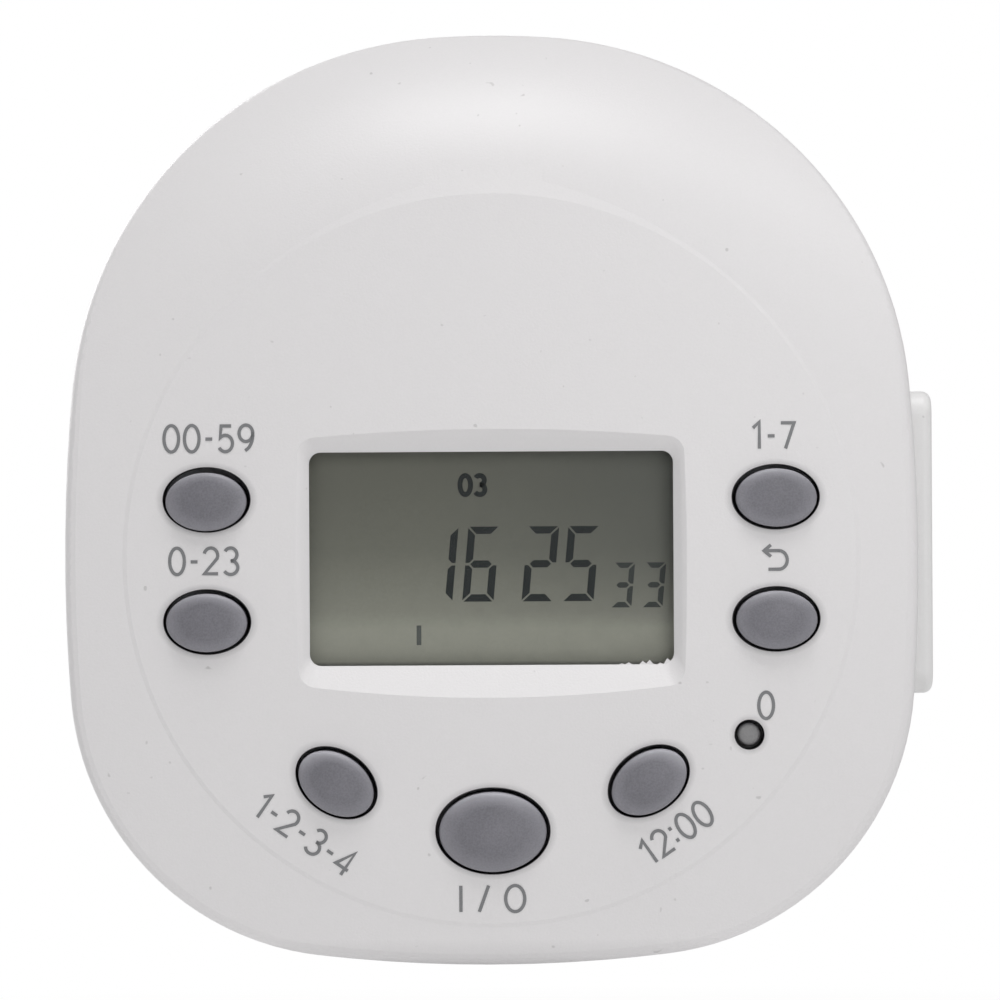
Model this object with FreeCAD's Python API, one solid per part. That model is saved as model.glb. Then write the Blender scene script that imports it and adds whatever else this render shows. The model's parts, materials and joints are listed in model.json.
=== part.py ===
import FreeCAD, Part
import math
import os

# A plug-in digital timer. Millimetres, +Z up, front towards -Y, plug pins towards +Y.
# The origin is the middle of the pin layout, on the pad that rests on the wall socket.

# Casing outline, seen from the front: tangent arcs, alike on both sides
outline_top = 41.2
outline_foot = -40.5
half_width = 37.25
widest_height = -5.2
top_radius = 78.0
shoulder_offset = 3.35
side_radius = 168.0
corner_offset = 12.7
foot_radius = 133.0

# Casing walls and its seam; the depth follows from what stands between back and face
parting_depth = 14.0
pad_height = 1.5
pad_radius = 19.0
pad_drop = 3.0
pad_round = 0.5
wall = 2.0
front_draft = 0.6
rear_draft = 0.4
rim_round = 1.2
rear_round = 2.0
seam = 0.12
lip_height = 1.4
lip_play = 0.15

# Front face: a shallow sphere that falls away at the shoulders, with a raised disc
face_radius = 200.0
disc_height = -5.0
disc_radius = 31.3
disc_step = 0.08
disc_slope = 0.22
disc_skirt = 3.0
shoulder_centre = -20.0
shoulder_run = 16.7
shoulder_roll = 22.0
shoulder_bend_share = 0.85
face_margin = 4.0
face_steps = 36

# Display: recess, window, crystal cell and what holds them
window_half_width = 15.6
window_half_height = 9.15
window_round = 1.0
recess_round = 2.0
recess_depth = 1.9
recess_lean_top = 1.2
recess_lean_bottom = 1.75
recess_lean_side = 0.92
window_ledge = 0.5
ledge_width = 1.4
lens_thickness = 1.2
lens_play = 0.15
cell_thickness = 2.2
cell_gap = 0.2
reflector_thickness = 0.3
frame_wall = 1.5
strip_width = 1.2
surround_wall = 1.9

# Keys
side_key_x = 24.35
upper_key_z = 0.15
lower_key_z = -10.3
slant_key_x = 13.35
slant_key_z = -24.1
slant_angle = 34.0
mode_key_z = -28.3
key_hole_half_long = 3.78
key_hole_half_short = 2.79
mode_hole_half_long = 4.9
mode_hole_half_short = 3.74
reset_key_x = 22.0
reset_key_z = -20.2
reset_hole_radius = 1.29
key_gap = 0.3
key_drop = 0.07
key_spread = 0.03
minute_key_droop = 0.1
key_crown = 1.1
key_crown_radius = 11.0
key_edge_round = 0.4
reset_depth = 1.0
key_flange = 0.85
key_flange_thickness = 0.8
key_play = 0.1
collar_wall = 0.85
seat_distance = 3.2

# Keypad mat
mat_thickness = 0.8
mat_radius = 29.5
mat_top = 6.0
mat_margin = 0.4
dome_foot_radius = 2.9
dome_top_radius = 1.9
dome_skin = 0.5
reset_dome_scale = 0.6
dome_gap = 0.05

# Boards
board_thickness = 1.6
control_board_depth = 8.0
control_board_radius = 31.5
control_board_side_gap = 0.5
power_board_left = -30.0
power_board_bottom = -25.0
power_board_top = 17.0
power_board_strap_gap = 0.7
power_post_length = 5.5
post_radius = 2.2
board_notch = 0.6
tall_part_gap = 2.1
carrier_gap = 0.7

# Screws
case_screw_upper_x = 29.0
case_screw_upper_z = 15.0
case_screw_lower_x = 23.0
case_screw_lower_z = -30.0
case_boss_radius = 3.3
case_screw_radius = 1.25
case_screw_length = 14.0
case_head_radius = 2.4
case_head_height = 2.0
case_head_depth = 7.5
board_screw_radius = 1.0
board_screw_length = 5.0
board_head_radius = 1.9
board_head_height = 1.2
head_round_share = 0.33
power_screw_inset = 2.8
power_screw_rise = 3.5
power_screw_drop = 4.0
power_screw_left_z = 0.5
thread_play = 0.05
hole_play = 0.2
cross_slot_length = 2.2
cross_slot_width = 0.5
cross_slot_depth = 0.6

# Plug pins: three flat blades, the live pair leaning towards each other at the top
live_pin_radius = 7.92
live_pin_angle = 60.0
earth_pin_radius = 10.31
blade_width = 6.35
blade_thickness = 1.6
live_pin_length = 17.0
earth_pin_length = 20.0
blade_tip = 0.6
sleeve_length = 8.6
sleeve_thickness = 0.3
pin_shoulder = 1.0
pin_shoulder_spread = 1.4
pin_slot_play = 0.15
pin_carrier_thickness = 2.5
pin_carrier_half_width = 10.6
pin_carrier_top = 8.2
pin_carrier_bottom = -14.8
pin_carrier_screw_x = 7.0
pin_carrier_screw_z = -3.6
pin_carrier_gap = 0.1
pin_tail = 0.7

# Side outlet
outlet_back_gap = 0.2
outlet_z = -0.6
outlet_proud = 1.2
plate_half_depth = 12.3
plate_half_height = 13.2
plate_drop = 3.3
plate_round = 2.0
plate_edge_round = 0.8
plate_play = 0.15
plate_flange_setback = 3.3
plate_flange_thickness = 1.4
plate_flange_margin = 0.8
plate_frame_margin = 3.0
slot_play = 0.35
contact_gap = 1.7
contact_leaf = 0.6
contact_width = 5.4
contact_start = 0.7
contact_room = 0.6
contact_tail = 2.2
contact_tail_width = 3.6
contact_play = 0.15
contact_carrier_back = 1.0
contact_carrier_half_width = 10.9
contact_carrier_top = 8.6
contact_carrier_bottom = -15.2

# Straps between pins, boards and contacts
strap_thickness = 0.6
strap_width = 5.0
switched_strap_gap = 2.9
strap_foot = 3.0

# Components on the boards: middle places and sizes
lead_radius = 0.35
lead_reach = 1.2
lead_lift = 0.6
moulded_round = 0.6
part_gap = 0.8
screw_gap = 0.2
relay_z = 9.9
relay_half_length = 14.5
relay_half_width = 6.35
relay_height = 15.7
dropper_z = -19.0
dropper_half_length = 9.0
dropper_half_width = 4.25
dropper_height = 14.5
smoothing_z = -19.0
smoothing_radius = 4.0
smoothing_height = 11.5
varistor_x = -3.0
varistor_z = 1.0
varistor_radius = 4.5
varistor_thickness = 3.5
resistor_x = -26.0
resistor_z = -9.5
resistor_radius = 2.2
resistor_length = 9.0
diode_x = -16.0
diode_z = -1.0
diode_pitch = 4.0
diode_count = 3
diode_radius = 1.35
diode_length = 5.2
transistor_x = -4.0
transistor_z = -7.5
transistor_radius = 2.4
transistor_flat = 1.3
transistor_height = 4.8
transistor_lift = 2.5
transistor_pitch = 1.27
link_inset = 6.2
link_z = -6.9
link_count = 6
link_pitch = 2.54
link_pin_width = 0.64
battery_x = -18.0
battery_z = -5.5
battery_radius = 7.8
battery_thickness = 6.0
battery_gap = 0.2
battery_clip_play = 0.6
battery_clip_width = 4.0
clip_thickness = 0.4
chip_x = -1.0
chip_z = -6.0
chip_height = 1.8
chip_dome_radius = 9.0
crystal_x = 12.0
crystal_z = -22.0
crystal_radius = 1.0
crystal_length = 6.0

# Label recess on the back, left blank
label_half_width = 14.0
label_bottom = 20.5
label_top = 32.0
label_depth = 0.3
label_round = 1.0

# How far cutting shapes reach past what they cut
cut_margin = 1.0
through = 60.0

# Outline and shoulder radii
shoulder_radius = half_width - shoulder_offset
corner_radius = half_width - corner_offset
shoulder_start = outline_top - shoulder_centre - shoulder_run

# Planes across the depth, from the back to the control board, which clears the tallest part
y_parting = -parting_depth
y_back = -pad_height
y_inside_back = y_back - wall
y_power_rear = y_inside_back - power_post_length
y_power = y_power_rear - board_thickness
y_tallest = y_power - max(relay_height, dropper_height, smoothing_height)
outlet_y = y_inside_back - outlet_back_gap - plate_flange_margin - plate_half_depth
y_carrier_side = outlet_y - contact_carrier_half_width
y_control_rear = min(y_tallest - tall_part_gap, y_carrier_side - carrier_gap)
y_pin_carrier = y_inside_back - pin_shoulder - pin_carrier_gap
y_pin_carrier_front = y_pin_carrier - pin_carrier_thickness
y_tail = y_pin_carrier_front - pin_tail
y_case_head = y_back - case_head_depth

# Planes across the depth, from the control board to the face
y_control = y_control_rear - board_thickness
y_front = y_control - control_board_depth
y_recess = y_front + recess_depth
y_lens = y_recess + window_ledge
y_cell = y_lens + lens_thickness + cell_gap
y_reflector = y_cell + cell_thickness
y_seat = y_control - seat_distance
y_key_flange = y_seat + key_play
y_key_foot = y_key_flange + key_flange_thickness
y_dome_top = y_key_foot + dome_gap
y_mat = y_control - mat_thickness

# Planes across the width at the outlet
x_outlet = half_width + outlet_proud
x_flange = half_width - plate_flange_setback
x_flange_inner = x_flange - plate_flange_thickness
plate_z = outlet_z - plate_drop
contact_face = x_outlet - x_flange_inner + contact_play
contact_end = earth_pin_length + contact_room
carrier_end = contact_end + contact_leaf + contact_carrier_back
tail_end = carrier_end + contact_tail - contact_carrier_back
x_strap = x_outlet - tail_end

# The power board ends short of the straps; its parts are set in from its right end
power_board_right = x_strap - strap_thickness - power_board_strap_gap
power_screw_left = power_board_left + power_screw_inset
power_screw_right = power_board_right - power_screw_inset
relay_x = power_screw_right - board_head_radius - screw_gap - relay_half_length
smoothing_x = power_screw_right - board_head_radius - part_gap - smoothing_radius
dropper_x = smoothing_x - smoothing_radius - part_gap - dropper_half_length
link_x = power_board_right - link_inset

control_screws = [(-20.0, 14.6), (20.0, 14.6), (-22.0, -20.2), (9.5, -32.5)]
power_screws = [
    (power_screw_left, power_board_bottom + power_screw_rise),
    (power_screw_left, power_screw_left_z),
    (power_screw_right, power_board_bottom + power_screw_rise),
    (power_screw_right, power_board_top - power_screw_drop),
]


def vec(x, y, z):
    return FreeCAD.Vector(x, y, z)


def block(x_low, x_high, y_low, y_high, z_low, z_high):
    corner = vec(x_low, y_low, z_low)
    return Part.makeBox(x_high - x_low, y_high - y_low, z_high - z_low, corner)


def rod(x, z, radius, y_low, y_high):
    """A cylinder along the depth."""
    return Part.makeCylinder(radius, y_high - y_low, vec(x, y_low, z), vec(0, 1, 0))


def round_edges_along(solid, direction, radius):
    """Rounds the straight edges that run along a direction."""
    edges = []
    for edge in solid.Edges:
        start = edge.Vertexes[0].Point
        end = edge.Vertexes[-1].Point
        run = end - start
        if run.Length > 0 and run.cross(direction).Length < 1e-6 * run.Length:
            edges.append(edge)
    return solid.makeFillet(radius, edges)


def meeting(centre_a, radius_a, centre_b, radius_b):
    """The point at the two distances from two centres, to the right of the way from a to b."""
    across = centre_b[0] - centre_a[0]
    up = centre_b[1] - centre_a[1]
    span = math.hypot(across, up)
    along = (span ** 2 + radius_a ** 2 - radius_b ** 2) / (2 * span)
    off = math.sqrt(radius_a ** 2 - along ** 2)
    x = centre_a[0] + (along * across + off * up) / span
    z = centre_a[1] + (along * up - off * across) / span
    return x, z


def outline_arcs():
    """Centre, radius, start and end angle of each arc, clockwise from the middle of the top."""
    top = (0.0, outline_top - top_radius)
    side = (half_width - side_radius, widest_height)
    foot = (0.0, outline_foot + foot_radius)
    shoulder = meeting(top, top_radius - shoulder_radius, side, side_radius - shoulder_radius)
    corner = meeting(side, side_radius - corner_radius, foot, foot_radius - corner_radius)
    lean_top = math.atan2(shoulder[1] - top[1], shoulder[0] - top[0])
    lean_side = math.atan2(shoulder[1] - side[1], shoulder[0] - side[0])
    lean_corner = math.atan2(corner[1] - side[1], corner[0] - side[0])
    lean_foot = math.atan2(corner[1] - foot[1], corner[0] - foot[0])
    right = [
        (shoulder, shoulder_radius, lean_top, lean_side),
        (side, side_radius, lean_side, lean_corner),
        (corner, corner_radius, lean_corner, lean_foot),
    ]
    bottom = [(foot, foot_radius, lean_foot, -math.pi - lean_foot)]
    left = []
    for centre, radius, start, end in reversed(right):
        left.append(((-centre[0], centre[1]), radius, -math.pi - end, -math.pi - start))
    crown = [(top, top_radius, math.pi - lean_top, lean_top)]
    return crown + right + bottom + left


def outline(inset, y):
    """The casing's outline, drawn in by an inset, at a depth."""
    edges = []
    for centre, radius, start, end in outline_arcs():
        points = []
        for angle in (start, (start + end) / 2, end):
            x = centre[0] + (radius - inset) * math.cos(angle)
            z = centre[1] + (radius - inset) * math.sin(angle)
            points.append(vec(x, y, z))
        edges.append(Part.Arc(points[0], points[1], points[2]).toShape())
    return Part.Wire(edges)


def outline_loft(inset_a, y_a, inset_b, y_b):
    return Part.makeLoft([outline(inset_a, y_a), outline(inset_b, y_b)], True, True)


def shoulder_fall(x, z):
    """How far the casing rolls back beyond the shoulder circle."""
    reach = max(0.0, math.hypot(x, z - shoulder_centre) - shoulder_start)
    steepest = shoulder_bend_share * shoulder_roll
    bent = min(reach, steepest)
    fall = shoulder_roll - math.sqrt(shoulder_roll ** 2 - bent ** 2)
    slope = bent / math.sqrt(shoulder_roll ** 2 - bent ** 2)
    return fall + slope * (reach - bent)


def sphere_sag(x, z):
    return face_radius - math.sqrt(face_radius ** 2 - x ** 2 - (z - disc_height) ** 2)


def face_point(x, z):
    """A point of the raised disc's sphere."""
    return vec(x, y_front + sphere_sag(x, z), z)


def face_outward(x, z):
    """The direction square to the disc's sphere, away from the casing."""
    outward = face_point(x, z) - vec(0, y_front + face_radius, disc_height)
    return outward.normalize()


def behind_front(shift):
    """Everything behind the casing's front surface, moved back by a shift."""
    reach = outline_top + face_margin
    rows = []
    for i in range(face_steps + 1):
        x = reach * (2.0 * i / face_steps - 1.0)
        row = []
        for k in range(face_steps + 1):
            z = reach * (2.0 * k / face_steps - 1.0)
            y = y_front + disc_step + sphere_sag(x, z) + shoulder_fall(x, z) + shift
            row.append(vec(x, y, z))
        rows.append(row)
    surface = Part.BSplineSurface()
    surface.interpolate(rows)
    return surface.toShape().extrude(vec(0, through, 0))


def disc_solid():
    """The raised disc with its sloping rim, turned about the disc's axis."""
    rim_sag = face_radius - math.sqrt(face_radius ** 2 - disc_radius ** 2)
    half_sag = face_radius - math.sqrt(face_radius ** 2 - (disc_radius / 2) ** 2)
    rim_slope = disc_radius / math.sqrt(face_radius ** 2 - disc_radius ** 2) + disc_slope
    skirt_radius = disc_radius + disc_skirt
    apex = vec(0, y_front, disc_height)
    middle = vec(disc_radius / 2, y_front + half_sag, disc_height)
    rim = vec(disc_radius, y_front + rim_sag, disc_height)
    skirt = vec(skirt_radius, y_front + rim_sag + rim_slope * disc_skirt, disc_height)
    heel = vec(0, skirt.y, disc_height)
    profile = Part.Wire([
        Part.Arc(apex, middle, rim).toShape(),
        Part.makeLine(rim, skirt),
        Part.makeLine(skirt, heel),
        Part.makeLine(heel, apex),
    ])
    return Part.Face(profile).revolve(apex, vec(0, 1, 0), 360)


class Key:
    """One button: where it sits, how big its hole is, how it is turned and how far it droops."""

    def __init__(self, name, x, z, half_long, half_short, tilt, droop=0.0):
        self.name = name
        self.x = x
        self.z = z
        self.half_long = half_long
        self.half_short = half_short
        self.tilt = math.radians(tilt)
        self.droop = droop
        self.side = (x > 0) - (x < 0)

    def oval(self, growth, y_low, y_high):
        """A prism with the hole's shape, grown or shrunk all round."""
        along = vec(math.cos(self.tilt), 0, math.sin(self.tilt))
        across = vec(-math.sin(self.tilt), 0, math.cos(self.tilt))
        centre = vec(self.x, y_low, self.z)
        long_end = centre + along * (self.half_long + growth)
        short_end = centre + across * (self.half_short + growth)
        curve = Part.Ellipse(long_end, short_end, centre).toShape()
        return Part.Face(Part.Wire(curve)).extrude(vec(0, y_high - y_low, 0))


minute_key = Key(
    "minute_key", -side_key_x, upper_key_z, key_hole_half_long, key_hole_half_short, 0, minute_key_droop
)
hour_key = Key("hour_key", -side_key_x, lower_key_z, key_hole_half_long, key_hole_half_short, 0)
week_key = Key("week_key", side_key_x, upper_key_z, key_hole_half_long, key_hole_half_short, 0)
recall_key = Key("recall_key", side_key_x, lower_key_z, key_hole_half_long, key_hole_half_short, 0)
program_key = Key(
    "program_key", -slant_key_x, slant_key_z, key_hole_half_long, key_hole_half_short, -slant_angle
)
clock_key = Key(
    "clock_key", slant_key_x, slant_key_z, key_hole_half_long, key_hole_half_short, slant_angle
)
mode_key = Key("mode_key", 0, mode_key_z, mode_hole_half_long, mode_hole_half_short, 0)
reset_key = Key("reset_key", reset_key_x, reset_key_z, reset_hole_radius, reset_hole_radius, 0)
oval_keys = [minute_key, hour_key, week_key, recall_key, program_key, clock_key, mode_key]
all_keys = oval_keys + [reset_key]


def key_body(key):
    """A domed oval cap on a flange. It follows the tilt of the face and sits low and outward."""
    outward = face_outward(key.x, key.z)
    crown_centre = face_point(key.x, key.z) + outward * (key_crown - key_crown_radius)
    ball = Part.makeSphere(key_crown_radius, crown_centre)
    cap = key.oval(-key_gap, y_front - key_crown, y_key_foot).common(ball)
    top_edge = min(cap.Edges, key=lambda edge: edge.CenterOfMass.y)
    cap = cap.makeFillet(key_edge_round, [top_edge])
    body = cap.fuse(key.oval(key_flange, y_key_flange, y_key_foot))
    body.translate(vec(key_spread * key.side, 0, -key_drop - key.droop))
    return body


def reset_body():
    """The small round button, sunk below the face."""
    y_top = face_point(reset_key.x, reset_key.z).y + reset_depth
    stem = rod(reset_key.x, reset_key.z, reset_hole_radius - key_gap, y_top, y_key_foot)
    top_edge = min(stem.Edges, key=lambda edge: edge.CenterOfMass.y)
    stem = stem.makeFillet(key_gap, [top_edge])
    return stem.fuse(reset_key.oval(key_flange, y_key_flange, y_key_foot))


def rectangle(half_x, z_low, z_high, radius, y):
    """A rounded rectangle across the front, centred on the middle plane."""
    corners = [
        (half_x - radius, z_high - radius),
        (-half_x + radius, z_high - radius),
        (-half_x + radius, z_low + radius),
        (half_x - radius, z_low + radius),
    ]
    arcs = []
    for count, (x, z) in enumerate(corners):
        points = []
        for share in (0.0, 0.5, 1.0):
            turn = (count + share) * math.pi / 2
            points.append(vec(x + radius * math.cos(turn), y, z + radius * math.sin(turn)))
        arcs.append(points)
    edges = []
    for count, points in enumerate(arcs):
        edges.append(Part.makeLine(arcs[count - 1][-1], points[0]))
        edges.append(Part.Arc(points[0], points[1], points[2]).toShape())
    return Part.Wire(edges)


def rectangle_prism(half_x, z_low, z_high, radius, y_low, y_high):
    face = Part.Face(rectangle(half_x, z_low, z_high, radius, y_low))
    return face.extrude(vec(0, y_high - y_low, 0))


window_low = disc_height - window_half_height
window_high = disc_height + window_half_height


def window_slab(growth, radius, y_low, y_high):
    """A slab with the window's shape, grown all round."""
    return rectangle_prism(
        window_half_width + growth, window_low - growth, window_high + growth, radius, y_low, y_high
    )


def recess_cut():
    """The sloping surround of the display, open to the front."""
    rise = recess_depth + cut_margin
    inner = rectangle(window_half_width, window_low, window_high, window_round, y_recess)
    outer = rectangle(
        window_half_width + recess_lean_side * rise,
        window_low - recess_lean_bottom * rise,
        window_high + recess_lean_top * rise,
        recess_round,
        y_recess - rise,
    )
    return Part.makeLoft([inner, outer], True, True)


def case_screw_places():
    places = []
    for side in (-1, 1):
        places.append((side * case_screw_upper_x, case_screw_upper_z))
        places.append((side * case_screw_lower_x, case_screw_lower_z))
    return places


def plate_slab(x_low, x_high, growth, radius):
    """A rounded slab with the outlet plate's outline."""
    slab = block(
        x_low,
        x_high,
        outlet_y - plate_half_depth - growth,
        outlet_y + plate_half_depth + growth,
        plate_z - plate_half_height - growth,
        plate_z + plate_half_height + growth,
    )
    return round_edges_along(slab, vec(1, 0, 0), radius)


def outlet_opening():
    return plate_slab(x_flange, x_outlet, plate_play, plate_round + plate_play)


def outlet_frame():
    """Flat material inside the side wall, which the outlet plate's flange lies against."""
    return plate_slab(x_flange + plate_play, half_width, plate_frame_margin, plate_round)


def behind_sphere(shift):
    """Everything within reach behind the disc's sphere, moved back by a shift."""
    ball = Part.makeSphere(face_radius, vec(0, y_front + face_radius + shift, disc_height))
    return ball.common(block(-through, through, -through, 0, -through, through))


def front_cover():
    """The shell with its raised disc, display surround, key collars and screw bosses."""
    block = outline_loft(front_draft, y_front, 0, y_parting - seam)
    outer = block.common(behind_front(0))
    rim = [edge for edge in outer.Edges if edge.BoundBox.YMax < y_parting - rim_round]
    outer = outer.makeFillet(rim_round, rim)
    inner = outline_loft(front_draft + wall, y_front, wall, y_parting).common(behind_front(wall))
    skin = outer.cut(inner)

    half_wall = wall / 2
    within = outline_loft(front_draft + half_wall, y_front, half_wall, y_parting - seam)
    within = within.common(behind_sphere(half_wall))
    fittings = [window_slab(ledge_width + surround_wall, window_round, y_front, y_lens + lens_thickness)]
    for key in all_keys:
        fittings.append(key.oval(collar_wall, y_front, y_seat))
    for x, z in case_screw_places():
        fittings.append(rod(x, z, case_boss_radius, y_front, y_parting - seam))
    for x, z in control_screws:
        fittings.append(rod(x, z, post_radius, y_front, y_control))
    fittings.append(outlet_frame())
    fittings = [fitting.common(within) for fitting in fittings]
    lip = outline_loft(half_wall, y_parting - wall, half_wall, y_parting + lip_height)
    fittings.append(lip.cut(outline_loft(wall, y_parting - wall, wall, y_parting + lip_height)))
    fittings.append(disc_solid().cut(behind_sphere(half_wall)).common(block))
    body = skin.fuse(fittings)

    cuts = [
        recess_cut(),
        window_slab(0, window_round, y_recess, y_lens),
        window_slab(ledge_width + lens_play, window_round, y_lens, y_control),
        outlet_opening(),
    ]
    for key in all_keys:
        cuts.append(key.oval(0, y_front, y_control))
    pilot = case_screw_radius + thread_play
    y_tip = y_case_head - case_screw_length - hole_play
    for x, z in case_screw_places():
        cuts.append(rod(x, z, pilot, y_tip, y_parting))
    pilot = board_screw_radius + thread_play
    y_tip = y_control_rear - board_screw_length - hole_play
    for x, z in control_screws:
        cuts.append(rod(x, z, pilot, y_tip, y_control))
    return body.cut(cuts)


class Pole:
    """One blade of the plug layout: its place, its lean and its length."""

    def __init__(self, name, x, z, lean, length):
        self.name = name
        self.x = x
        self.z = z
        self.lean = lean
        self.length = length

    def prism(self, long_side, short_side, y_low, y_high):
        """A bar along the depth with the blade's place and lean."""
        bar = block(-short_side / 2, short_side / 2, y_low, y_high, -long_side / 2, long_side / 2)
        bar.rotate(vec(0, 0, 0), vec(0, 1, 0), self.lean)
        bar.translate(vec(self.x, 0, self.z))
        return bar


live_x = live_pin_radius * math.sin(math.radians(live_pin_angle))
live_z = live_pin_radius * math.cos(math.radians(live_pin_angle))
live_lean = 90.0 - live_pin_angle
active_pole = Pole("active", -live_x, live_z, live_lean, live_pin_length)
neutral_pole = Pole("neutral", live_x, live_z, -live_lean, live_pin_length)
earth_pole = Pole("earth", 0, -earth_pin_radius, 0, earth_pin_length)
poles = [active_pole, neutral_pole, earth_pole]


def to_outlet(shape):
    """Turns a shape from the plug's layout to the outlet on the right side, facing +X."""
    moved = shape.copy()
    moved.rotate(vec(0, 0, 0), vec(0, 0, 1), 90)
    moved.translate(vec(x_outlet, outlet_y, outlet_z))
    return moved


def rear_cover():
    """The back shell with its plug pad, counterbored screw bosses and board posts."""
    outer = outline_loft(0, y_parting, rear_draft, y_back)
    rear_edges = [edge for edge in outer.Edges if edge.BoundBox.YMin > y_back - rim_round]
    outer = outer.makeFillet(rear_round, rear_edges)
    inner = outline_loft(wall, y_parting, wall + rear_draft, y_inside_back)
    rebate_inset = wall / 2 - lip_play
    rebate = outline_loft(rebate_inset, y_parting, rebate_inset, y_parting + lip_height + lip_play)
    pad = rod(0, -pad_drop, pad_radius, y_inside_back, 0)
    pad_edge = max(pad.Edges, key=lambda edge: edge.CenterOfMass.y)
    pad = pad.makeFillet(pad_round, [pad_edge])
    within = outline_loft(wall / 2, y_parting, wall / 2 + rear_draft, y_inside_back + wall / 2)
    fittings = [outlet_frame().common(within).cut(rebate), pad]
    for x, z in case_screw_places():
        fittings.append(rod(x, z, case_boss_radius, y_parting, y_back - wall / 2))
    for x, z in power_screws:
        fittings.append(rod(x, z, post_radius, y_power_rear, y_back - wall / 2))
    body = outer.cut([inner, rebate]).fuse(fittings)

    cuts = [outlet_opening(), label_recess()]
    for x, z in case_screw_places():
        cuts.append(rod(x, z, case_head_radius + hole_play, y_case_head, 0))
        cuts.append(rod(x, z, case_screw_radius + hole_play, y_parting - wall, 0))
    pilot = board_screw_radius + thread_play
    for x, z in power_screws:
        y_tip = y_power + board_screw_length + hole_play
        cuts.append(rod(x, z, pilot, y_power, y_tip))
    for side in (-1, 1):
        y_tip = y_pin_carrier_front + board_screw_length + hole_play
        x = side * pin_carrier_screw_x
        cuts.append(rod(x, pin_carrier_screw_z, pilot, y_pin_carrier_front, y_tip))
    for pole in poles:
        long_side = blade_width + 2 * pin_slot_play
        short_side = blade_thickness + 2 * pin_slot_play
        cuts.append(pole.prism(long_side, short_side, y_inside_back - wall, wall))
    return body.cut(cuts)


def label_recess():
    return rectangle_prism(
        label_half_width, label_bottom, label_top, label_round, y_back - label_depth, 0
    )


def outlet_plate():
    """The side socket's face: a slotted plate with a flange that the two covers trap."""
    plate = plate_slab(x_flange_inner, x_outlet, 0, plate_round)
    face_edges = [edge for edge in plate.Edges if edge.BoundBox.XMin > x_outlet - plate_edge_round]
    plate = plate.makeFillet(plate_edge_round, face_edges)
    flange = plate_slab(x_flange_inner, x_flange, plate_flange_margin, plate_round)
    slots = []
    for pole in poles:
        long_side = blade_width + 2 * slot_play
        short_side = blade_thickness + 2 * slot_play
        slot = pole.prism(long_side, short_side, -cut_margin, through)
        slots.append(to_outlet(slot))
    return plate.fuse(flange).cut(slots)


def outlet_contact(pole):
    """A brass clip that grips a plug's blade, with a tail through the back of its carrier."""
    thickness = contact_gap + 2 * contact_leaf
    y_mouth = contact_face + contact_start
    clip = pole.prism(contact_width, thickness, y_mouth, contact_end + contact_leaf)
    room_width = contact_width + cut_margin
    room = pole.prism(room_width, contact_gap, y_mouth - cut_margin, contact_end)
    tail = pole.prism(contact_tail_width, contact_leaf, contact_end, tail_end)
    return to_outlet(clip.cut(room).fuse(tail))


def contact_carrier():
    """The insulating block behind the outlet plate, with a cell for each contact."""
    carrier = block(
        -contact_carrier_half_width,
        contact_carrier_half_width,
        contact_face,
        carrier_end,
        contact_carrier_bottom,
        contact_carrier_top,
    )
    carrier = round_edges_along(carrier, vec(0, 1, 0), plate_round)
    cells = []
    for pole in poles:
        thickness = contact_gap + 2 * contact_leaf + 2 * contact_play
        width = max(contact_width, blade_width) + 2 * contact_play
        cell_end = contact_end + contact_leaf + contact_play
        cells.append(pole.prism(width, thickness, contact_face - cut_margin, cell_end))
        width = contact_tail_width + 2 * contact_play
        cells.append(pole.prism(width, contact_leaf + 2 * contact_play, contact_end, tail_end))
    return to_outlet(carrier.cut(cells))


def pin(pole, sleeved):
    """A plug blade with a shoulder inside the rear cover; the live pair is necked for its sleeve."""
    blade = pole.prism(blade_width, blade_thickness, y_tail, pole.length)
    tip_edges = [edge for edge in blade.Edges if edge.BoundBox.YMin > pole.length - blade_tip]
    blade = blade.makeChamfer(blade_tip, tip_edges)
    shoulder_long = blade_width + 2 * pin_shoulder_spread
    shoulder_short = blade_thickness + 2 * pin_shoulder_spread
    y_shoulder = y_inside_back - pin_shoulder
    blade = blade.fuse(pole.prism(shoulder_long, shoulder_short, y_shoulder, y_inside_back))
    if sleeved:
        blade = blade.cut(pin_sleeve(pole))
    return blade


def pin_sleeve(pole):
    """The insulating sleeve round the root of a live blade, flush with its flats."""
    core_long = blade_width - 2 * sleeve_thickness
    core_short = blade_thickness - 2 * sleeve_thickness
    outer = pole.prism(blade_width, blade_thickness, y_back, sleeve_length)
    core = pole.prism(core_long, core_short, y_back - cut_margin, sleeve_length + cut_margin)
    return outer.cut(core)


def pin_carrier():
    """The clamp plate that holds the three blades against the rear cover."""
    plate = rectangle_prism(
        pin_carrier_half_width,
        pin_carrier_bottom,
        pin_carrier_top,
        plate_round,
        y_pin_carrier_front,
        y_pin_carrier,
    )
    cuts = []
    for pole in poles:
        long_side = blade_width + 2 * pin_slot_play
        short_side = blade_thickness + 2 * pin_slot_play
        cuts.append(pole.prism(long_side, short_side, y_tail, 0))
    for side in (-1, 1):
        x = side * pin_carrier_screw_x
        cuts.append(rod(x, pin_carrier_screw_z, board_screw_radius + hole_play, y_tail, 0))
    return plate.cut(cuts)


def strap_plate(x_low, x_high, z_low, z_high):
    """A flat length of strap across the tails of the plug blades."""
    return block(x_low, x_high, y_tail - strap_thickness, y_tail, z_low, z_high)


def strap_riser(y_low, y_high, z_low, z_high):
    """A length of strap that stands across the tails of the outlet contacts."""
    return block(x_strap - strap_thickness, x_strap, y_low, y_high, z_low, z_high)


def contact_y(pole):
    return outlet_y + pole.x


def neutral_strap():
    half = strap_width / 2
    low = live_z - half
    high = live_z + half
    plate = strap_plate(live_x - half, x_strap, low, high)
    riser = strap_riser(contact_y(neutral_pole) - half, y_tail, low, high)
    foot = block(live_x, live_x + half, y_power_rear, y_tail - strap_thickness, low, high)
    return plate.fuse([riser, foot])


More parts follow.
